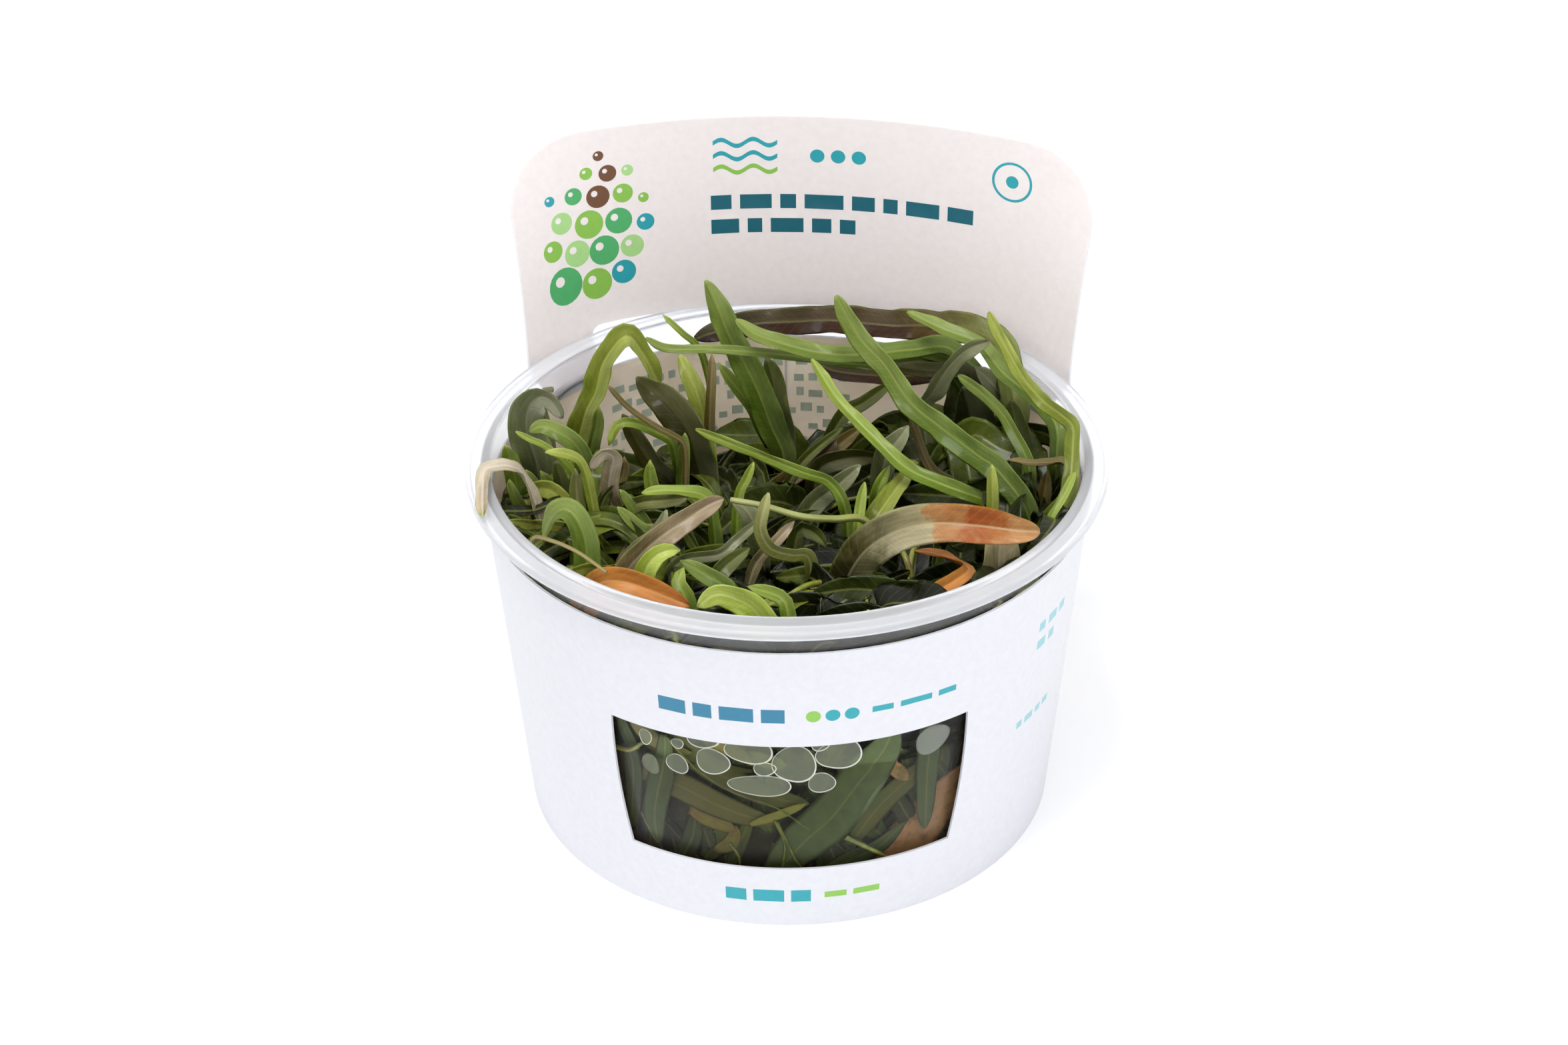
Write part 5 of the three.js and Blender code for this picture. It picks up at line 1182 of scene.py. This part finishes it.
def blade_sides(tangents, face, turns, spacing):
    """The sideways and upward directions of a blade, rolled by turns. It looks towards face at
    FACE_HELD_AT, and where the path turns away it twists back no faster than TWIST_PER_MM."""
    rolled = (face * np.cos(turns)[:, None] + np.cross(tangents, face) * np.sin(turns)[:, None]
              + tangents * ((tangents * face).sum(1) * (1 - np.cos(turns)))[:, None])
    wanted = np.cross(tangents, rolled)
    wanted /= np.linalg.norm(wanted, axis=1)[:, None]
    sides = wanted.copy()
    held = round(FACE_HELD_AT * (len(tangents) - 1))
    most = TWIST_PER_MM * spacing
    onward = [(i, i + 1) for i in range(held, len(tangents) - 1)]
    for start, end in onward + [(i, i - 1) for i in range(held, 0, -1)]:
        along = tangents[end]
        side = sides[start] - along * (sides[start] @ along)
        side /= np.linalg.norm(side)
        square = np.cross(along, side)
        missing = math.atan2(square @ wanted[end], side @ wanted[end])
        twist = max(-most, min(most, missing))
        sides[end] = side * math.cos(twist) + square * math.sin(twist)
    return sides, np.cross(sides, tangents)


def width_share(share, slimness):
    """How wide a blade is along its length: a narrow foot, a slow taper and a rounded tip. slimness is
    the width as a share of the length."""
    opening = np.sin(math.pi / 2 * np.minimum(1, share / LEAF_FULL_AT))
    base = LEAF_BASE_SHARE + (1 - LEAF_BASE_SHARE) * opening
    taper = np.maximum(0, share - LEAF_FULL_AT) / (1 - LEAF_FULL_AT)
    tip = min(LONGEST_TIP, LEAF_TIP_ROUNDING * slimness)
    cap = np.maximum(0, share - (1 - tip)) / tip
    return base * (1 - LEAF_TAPER * taper ** 1.4) * np.sqrt(np.maximum(0, 1 - cap ** 2))


def blade_mesh(path, width, turn, rng, station=LEAF_STATION, across=LEAF_ACROSS, stalk=False,
               waviness=WAVINESS, fold=LEAF_FOLD, outward=False):
    """A leaf blade as one closed skin: its points, faces, millimetres across and along, and shares. It
    looks towards LEAF_FACE, or outward from the cup's middle."""
    places, tangents, length = smooth_path(path, station)
    count = len(places)
    face = places * (1, 1, 0) / np.linalg.norm(places[:, :2], axis=1)[:, None] if outward else LEAF_FACE
    share = np.linspace(0, 1, count)
    turns = np.full(count, math.radians(turn)) + 0.12 * np.sin(share * 5 + rng.uniform(0, 6))
    side, up = blade_sides(tangents, face, turns, length / (count - 1))
    if stalk:
        half = width / 2 * (1 - STALK_TAPER * share)
    else:
        half = width / 2 * width_share(np.minimum(share, 0.998), width / length)
    columns = np.array([-a for a in across[::-1]] + [0] + list(across))
    first_wave = rng.uniform(0, 6)
    second_wave = rng.uniform(0, 6)
    rate = rng.uniform(0.5, 0.8)
    along = share * length
    top = []
    foot = []
    for column in columns:
        if stalk:
            lift = np.zeros(count)
            upper = lower = half * math.sqrt(max(0.02, 1 - column ** 2))
        else:
            wave_here = np.sin(rate * along + (first_wave if column > 0 else second_wave)) * column ** 2
            ripple = np.sin(2.3 * rate * along + first_wave * 2) * abs(column) ** 3
            lift = 2 * half * (fold * abs(column) ** 1.3 + waviness * wave_here + waviness / 3 * ripple)
            thin = BLADE * (1 - 0.65 * column ** 4) / 2
            rib = RIB * math.exp(-(column * 3.2) ** 2) * (1 - 0.6 * share)
            upper = thin - 0.25 * rib
            lower = thin + rib
        middle = places + side * (half * column)[:, None]
        top.append(middle + up * (lift + upper)[:, None])
        foot.append(middle + up * (lift - lower)[:, None])
    ring = top + foot[-2:0:-1]
    ring_columns = list(columns) + list(columns[-2:0:-1])
    corners = len(ring)
    points = np.stack(ring, axis=1).reshape(-1, 3)
    mm = np.column_stack([np.outer(half, ring_columns).ravel(), np.repeat(along, corners)])
    across_share = (np.array(ring_columns) + 1) / 2
    shares = np.column_stack([np.tile(across_share, count), np.repeat(share, corners)])
    faces = []
    for row in range(count - 1):
        for corner in range(corners):
            a = row * corners + corner
            b = row * corners + (corner + 1) % corners
            faces.append((a, a + corners, b + corners, b))
    faces.append(tuple(range(corners)))
    faces.append(tuple(range(len(points) - corners, len(points)))[::-1])
    return points, faces, mm, shares


def make_leaves(materials):
    rng = random.Random(11)
    for name, look, width, turn, path in LEAVES:
        points, faces, mm, shares = blade_mesh(path, width, turn, rng, stalk=name.startswith("stalk"))
        add_piece("grown_" + name, points, faces, [materials[look]], LEAF_LOOKS[look][0], [name],
                  layers={"blade_mm": mm, "blade_share": shares})


def make_low_leaves(materials):
    rng = random.Random(17)
    for look in sorted({row[0] for row in LOW_LEAVES}):
        blades = [blade_mesh(path, width, turn, rng, SMALL_LEAF_STATION, waviness=CROWD_WAVINESS)
                  for own_look, width, turn, path in LOW_LEAVES if own_look == look]
        add_blades("low_leaves_" + look, blades, materials[look], LEAF_LOOKS[look][0])


# The crowd of small leaves

def tangle_top(x, y):
    """The height of the crowd's lumpy top."""
    slope = TANGLE_MIDDLE - TANGLE_SLOPE_FRONT * y + TANGLE_SLOPE_RIGHT * x + TANGLE_SIDE_RISE * x ** 2
    slanted = math.sin(LUMP_RATE["slant_x"] * x - LUMP_RATE["slant_y"] * y)
    lumps = math.sin(LUMP_RATE["x"] * x + 1) * math.cos(LUMP_RATE["y"] * y) + slanted / 2
    away = math.hypot(x - TANGLE_HOLLOW[0], y - TANGLE_HOLLOW[1]) / TANGLE_HOLLOW_RADIUS
    hollow = TANGLE_HOLLOW_DEPTH * math.exp(-away ** 2)
    mounds = sum(rise * math.exp(-(math.hypot(x - at_x, y - at_y) / radius) ** 2)
                 for at_x, at_y, radius, rise in TANGLE_MOUNDS)
    return max(TANGLE_LEAST_TOP, slope + TANGLE_LUMP * lumps + mounds - hollow)


def keep_inside(place, margin):
    """Moves a place back inside the cup's wall, as a leaf that is pressed against it."""
    limit = wall_radius(min(place[2], WALL_TOP)) - WALL - margin
    radius = math.hypot(place[0], place[1])
    if radius > limit:
        place[0] *= limit / radius
        place[1] *= limit / radius
    return place


def small_leaf_path(place, heading, rise, bend, swing, length, headroom):
    """A short leaf that rises from place, bends over and stays under the crowd's top and in the cup."""
    path = [keep_inside(place.copy(), CROWN_MARGIN)]
    for _ in range(CROWD_LEAF_STEPS):
        flat = math.cos(rise)
        step = np.array((flat * math.cos(heading), flat * math.sin(heading), math.sin(rise)))
        place = keep_inside(place + step * length / CROWD_LEAF_STEPS, CROWD_MARGIN)
        ceiling = tangle_top(place[0], place[1]) + headroom
        if place[2] > ceiling:
            place[2] = ceiling + 0.25 * (place[2] - ceiling)
        place[2] = max(place[2], GEL_TOP + 1)
        path.append(place.copy())
        rise -= bend / CROWD_LEAF_STEPS
        heading += swing / CROWD_LEAF_STEPS
    return path


def add_blades(name, blades, material, slot, tones=None):
    """Joins blades into one piece on the tangle, each blade in its tone where tones are given; in the
    crowd these tones carry painted shade.
    """
    points, mm, shares = (np.vstack([blade[part] for blade in blades]) for part in (0, 2, 3))
    faces = []
    start = 0
    for own_points, own_faces, _, _ in blades:
        faces.extend(tuple(start + corner for corner in face) for face in own_faces)
        start += len(own_points)
    if tones:
        tones = np.repeat(tones, [len(blade[0]) for blade in blades])
    add_piece(name, points, faces, [material], slot, ["leaf_tangle"],
              layers={"blade_mm": mm, "blade_share": shares}, tones=tones)


def draw(rng, ranges, *kinds):
    """Random values of these kinds, drawn in this order."""
    return [rng.uniform(*ranges[kind]) for kind in kinds]


def scattered(rng, most_turn):
    """A random place in the crowd's circle, turned at most this far to the right of the back."""
    radius = CROWD_REACH * math.sqrt(rng.random())
    turn = rng.uniform(0, most_turn)
    return radius * math.sin(turn), radius * math.cos(turn)


def eased(value, low, high):
    """From 0 at low to 1 at high, smoothly."""
    share = min(1, max(0, (value - low) / (high - low)))
    return share * share * (3 - 2 * share)


def crown_place(rng, x, y, ranges):
    """The foot of a leaf or stem, at a random depth in the crowd."""
    depth, = draw(rng, ranges, "depth")
    return np.array((x, y, tangle_top(x, y) - depth))


def plantlet(rng, x, y):
    """One plantlet: leaves that fan out and up from a crown deep in the crowd, each with its tone. They
    are narrow and light at the left, and broad and dark at the right; at the front, and the lower a leaf
    stays under the crowd's top, its tone is darkened as painted shade."""
    rightward = eased(x, -16, 6)
    in_front = eased(-y, 8, 20) * eased(x, -12, -2) * (1 - eased(x, 18, 30))
    depth_of_tone = (1 - DARKER_RIGHT * rightward) * (1 - DARKER_FRONT * in_front)
    crown = crown_place(rng, x, y, LEAF_RANGES)
    first = rng.uniform(0, 2 * math.pi)
    tone_on_ramp = rng.betavariate(2.4, 2.2)
    leaves = []
    for number in range(PLANTLET_LEAVES):
        heading, *angles = draw(rng, LEAF_RANGES, "heading", "rise", "bend", "swing")
        length, width, headroom = draw(rng, LEAF_RANGES, "length", "width", "headroom")
        heading += first + 2 * math.pi * number / PLANTLET_LEAVES
        path = small_leaf_path(crown, heading, *map(math.radians, angles), length, headroom)
        width *= 1 + BROADER_RIGHT * rightward
        blade = blade_mesh(path, width, *draw(rng, LEAF_RANGES, "turn"), rng, SMALL_LEAF_STATION,
                           SMALL_LEAF_ACROSS, waviness=CROWD_WAVINESS)
        height = max(place[2] - tangle_top(place[0], place[1]) for place in path)
        # Painted shade: the lower a leaf stays under the crowd's top, the darker its tone.
        lit = min(1, max(0.2, 0.6 + 0.12 * height)) * depth_of_tone
        tone = tone_on_ramp + draw(rng, LEAF_RANGES, "tone")[0]
        leaves.append((blade, min(1, max(0, tone * lit))))
    return leaves


def press_inside(points):
    """Presses the edges of blades that lean on the cup's wall back inside it."""
    limit = wall_radius(np.minimum(points[:, 2], WALL_TOP)) - WALL - WALL_CLEARANCE
    radius = np.hypot(points[:, 0], points[:, 1])
    points[:, :2] *= np.minimum(1, limit / radius)[:, None]


def make_crowd(leaf):
    rng = random.Random(5)
    for name, (right, back) in CROWD_QUARTERS.items():
        leaves = []
        for _ in range(PLANTLETS):
            x, y = scattered(rng, math.pi / 2)
            leaves += plantlet(rng, right * x, back * y)
        blades, tones = zip(*leaves)
        for blade in blades:
            press_inside(blade[0])
        add_blades("crowded_leaves_" + name, blades, leaf, "packed_leaves", tones)


def make_core():
    """The heart of the crowd, below the leaves that can be told apart."""
    profile = [(0, CORE_FOOT)] + CORE_SIDE + [(radius, 0) for radius in CORE_TOP_RADII]
    points, faces = lathe(profile, CORE_SEGMENTS)
    points = np.array(points, float)
    first_top = 1 + CORE_SEGMENTS * len(CORE_SIDE)
    rough = random.Random(3)
    bumps = [(rough.uniform(0.3, 1.1), rough.uniform(0.3, 1.1), rough.uniform(0, 6)) for _ in range(6)]
    for index, (x, y, z) in enumerate(points):
        if index >= first_top:
            z = max(CORE_LEAST_TOP, tangle_top(x, y) - CORE_DEPTH)
        push = sum(math.sin(a * x + b * (y + z) + c) for a, b, c in bumps) * CORE_ROUGHNESS
        if index >= first_top:
            points[index][2] = z + push
        elif index:
            points[index][:2] *= 1 + (push - 0.6) / 40
    in_gel = [int(max(face) < first_top) for face in faces]
    growth = [packed_growth_material("packed_growth_in_painted_shade", PAINTED_SHADE_GROWTH),
              packed_growth_material("growth_with_painted_gel_haze", PAINTED_HAZE_GROWTH)]
    add_piece("packed_growth", points, faces, growth, "packed_leaves", ["leaf_tangle"],
              face_materials=in_gel)


def wall_blade(path, width, inset, rng, stalk=False):
    """A blade that lies flat behind the cup's wall."""
    placed = [on_inner_wall(along, height, inset) for along, height in path]
    return blade_mesh(placed, width, 0, rng, 1, SMALL_LEAF_ACROSS, stalk, 0, 0, True)


def make_window_leaves(leaf):
    rng = random.Random(8)
    blades = [wall_blade(path, width, inset, rng) for width, _, inset, path in WINDOW_LEAVES]
    tones = [tone for _, tone, _, _ in WINDOW_LEAVES]
    for _ in range(WINDOW_BACK_LEAVES):
        along, height, lean, reach = draw(rng, BACK_LEAF_RANGES, "along", "height", "lean", "reach")
        middle = (along + lean * 0.4, height + reach * 0.4)
        path = [(along, height), middle, (along + lean, height + reach)]
        blades.append(wall_blade(path, *draw(rng, BACK_LEAF_RANGES, "width", "inset"), rng))
        tones += draw(rng, BACK_LEAF_RANGES, "tone")
    add_blades("leaves_behind_window", blades, leaf, "packed_leaves", tones)


def make_stems():
    rng = random.Random(21)
    strands = [wall_blade(path, width, STRAND_INSET, rng, stalk=True) for width, path in WINDOW_STRANDS]
    for _ in range(STRAY_STEMS):
        crown = crown_place(rng, *scattered(rng, 2 * math.pi), STEM_RANGES)
        bends = draw(rng, STEM_RANGES, "heading", "rise", "bend", "swing", "length")
        path = small_leaf_path(crown, *bends, STEM_HEADROOM)
        strands.append(blade_mesh(path, *draw(rng, STEM_RANGES, "width"), 0, rng, SMALL_LEAF_STATION,
                                  SMALL_LEAF_ACROSS, stalk=True))
    add_blades("stems_and_strands", strands, stem_material(), "leaf_yellow_green")


def make_gel():
    top_radius = wall_radius(GEL_TOP) - WALL - GAP
    outline = rounded([
        (0, GEL_FOOT, 0),
        (wall_radius(GEL_FOOT) - WALL - GAP, GEL_FOOT, GEL_EDGE),
        (top_radius, GEL_TOP, 0.6),
        (top_radius - 2, GEL_TOP - 0.5, 1),
        (0, GEL_TOP - 0.5, 0),
    ])
    add_piece("gel_fill", *lathe(outline), [gel_material()], "nutrient_gel", ["nutrient_gel"])


def wall_ring(along, height, half_wide, half_high, lean, sizes):
    """A closed loop of places on the wall round a bubble. Each size gives a share of the way out from
    the bubble's middle, one for each step round it, and an inset from the wall."""
    points = []
    for step in range(BUBBLE_STEPS):
        t = 2 * math.pi * step / BUBBLE_STEPS
        bulge = 1 + 0.05 * math.sin(3 * t + lean) + 0.04 * math.sin(2 * t - lean)
        for shares, inset in sizes:
            reach = shares[step] * bulge
            points.append(on_inner_wall(along + half_wide * reach * math.cos(t),
                                        height + half_high * reach * math.sin(t), inset))
    around = len(sizes)
    faces = []
    for step in range(BUBBLE_STEPS):
        here = step * around
        ahead = (step + 1) % BUBBLE_STEPS * around
        for corner in range(around):
            following = (corner + 1) % around
            faces.append((here + corner, here + following, ahead + following, ahead + corner))
    return points, faces


def wall_lens(along, height, half_wide, half_high, lean):
    """A flat lens of air on the wall: the rings of FILM_PROFILE, closed at its front and back middle."""
    sizes = [([share] * BUBBLE_STEPS, inset) for share, inset in FILM_PROFILE]
    points, faces = wall_ring(along, height, half_wide, half_high, lean, sizes)
    around = len(sizes)
    faces = [face for index, face in enumerate(faces) if index % around != around - 1]
    front = len(points)
    points.append(on_inner_wall(along, height, FILM_PROFILE[0][1]))
    points.append(on_inner_wall(along, height, FILM_PROFILE[-1][1]))
    for step in range(BUBBLE_STEPS):
        here = step * around
        ahead = (step + 1) % BUBBLE_STEPS * around
        faces.append((front, here, ahead))
        faces.append((front + 1, ahead + around - 1, here + around - 1))
    return points, faces


def rim_sizes(rim, half):
    """The rim of water round a bubble: it is thickest low at the right."""
    wide = []
    for step in range(BUBBLE_STEPS):
        turn = 2 * math.pi * step / BUBBLE_STEPS + RIM_THICKEST_AT
        wide.append(rim * (RIM_LEAST + (1 - RIM_LEAST) * (0.5 + 0.5 * math.cos(turn))) / half)
    return [([1 - w * (1 - out) for w in wide], inset) for out, inset in RIM_PROFILE]


def make_bubbles():
    """Bubbles behind the window: a pale film of air, and the rim of water round it, painted near white
    as a painted highlight.
    """
    rng = random.Random(14)
    films = ([], [])
    rims = ([], [])
    for along, height, half_wide, half_high, rim in WINDOW_BUBBLES:
        outline = (along, height, half_wide, half_high, rng.uniform(0, 6))
        add_skin(*films, *wall_lens(*outline))
        if rim:
            add_skin(*rims, *wall_ring(*outline, rim_sizes(rim, min(half_wide, half_high))))
    film = air_film_material("bubble_film", "#d9e1c8", 0.84)
    frosted = air_film_material("frosted_bubble_film", "#cdd3c8", 0.7)
    add_piece("bubble_films", *films, [film], "nutrient_gel")
    add_piece("frosted_bubble", *wall_lens(*FROSTED_BUBBLE, 1), [frosted], "nutrient_gel")
    add_piece("bubble_rims", *rims, [bubble_rim_highlight_material()], "nutrient_gel")


# Light, floor and camera

def looking_at(place, target):
    """The turn of a camera or light at a place that looks at a target."""
    return (Vector(target) - Vector(place)).to_track_quat("-Z", "Y")


def make_camera():
    camera = bpy.data.cameras.new("camera")
    camera.lens = LENS
    camera.sensor_width = SENSOR_WIDTH
    camera.clip_start = 0.01
    eye = new_object("camera", camera)
    eye.rotation_mode = "QUATERNION"
    roll = Quaternion((0, 0, 1), CAMERA_ROLL)
    eye.rotation_quaternion = looking_at(CAMERA_PLACE, CAMERA_TARGET) @ roll
    eye.location = Vector(CAMERA_PLACE) * MM
    bpy.context.scene.camera = eye


def make_floor():
    mesh = bpy.data.meshes.new("floor")
    corners = [(x * FLOOR_REACH, y * FLOOR_REACH, 0) for x, y in ((-1, -1), (1, -1), (1, 1), (-1, 1))]
    mesh.from_pydata(corners, [], [(0, 1, 2, 3)])
    mesh.materials.append(new_material("white_paper_floor", "#fbfbfc", Roughness=0.9)[0])
    floor = new_object("floor", mesh)


def add_softbox(name, place, size, power):
    light = bpy.data.lights.new(name, "AREA")
    light.shape = "DISK"
    light.size = size
    light.energy = power
    lamp = new_object(name, light)
    lamp.location = place
    lamp.rotation_mode = "QUATERNION"
    lamp.rotation_quaternion = looking_at(place, SOFTBOX_TARGET)


def make_lights():
    world = bpy.data.worlds.new("white_studio")
    world.use_nodes = True
    background = world.node_tree.nodes["Background"]
    background.inputs[0].default_value = linear("#ffffff")
    background.inputs[1].default_value = ROOM_LIGHT
    bpy.context.scene.world = world
    for softbox in SOFTBOXES:
        add_softbox(*softbox)
    bpy.context.scene.view_settings.view_transform = "Standard"


make_camera()
make_floor()
make_lights()
make_cup()
make_card()
leaf_materials = {look: leaf_material(look + "_wet_leaf", *row[1:]) for look, row in LEAF_LOOKS.items()}
make_leaves(leaf_materials)
make_low_leaves(leaf_materials)
make_crowd(small_leaf_material("wet_crowded_leaf", SMALL_LEAF_TONES, 0.25))
make_core()
# The leaves behind the window take the paler tones: painted haze.
make_window_leaves(small_leaf_material("leaf_with_painted_gel_haze", WINDOW_TONES, 0))
make_stems()
make_gel()
make_bubbles()
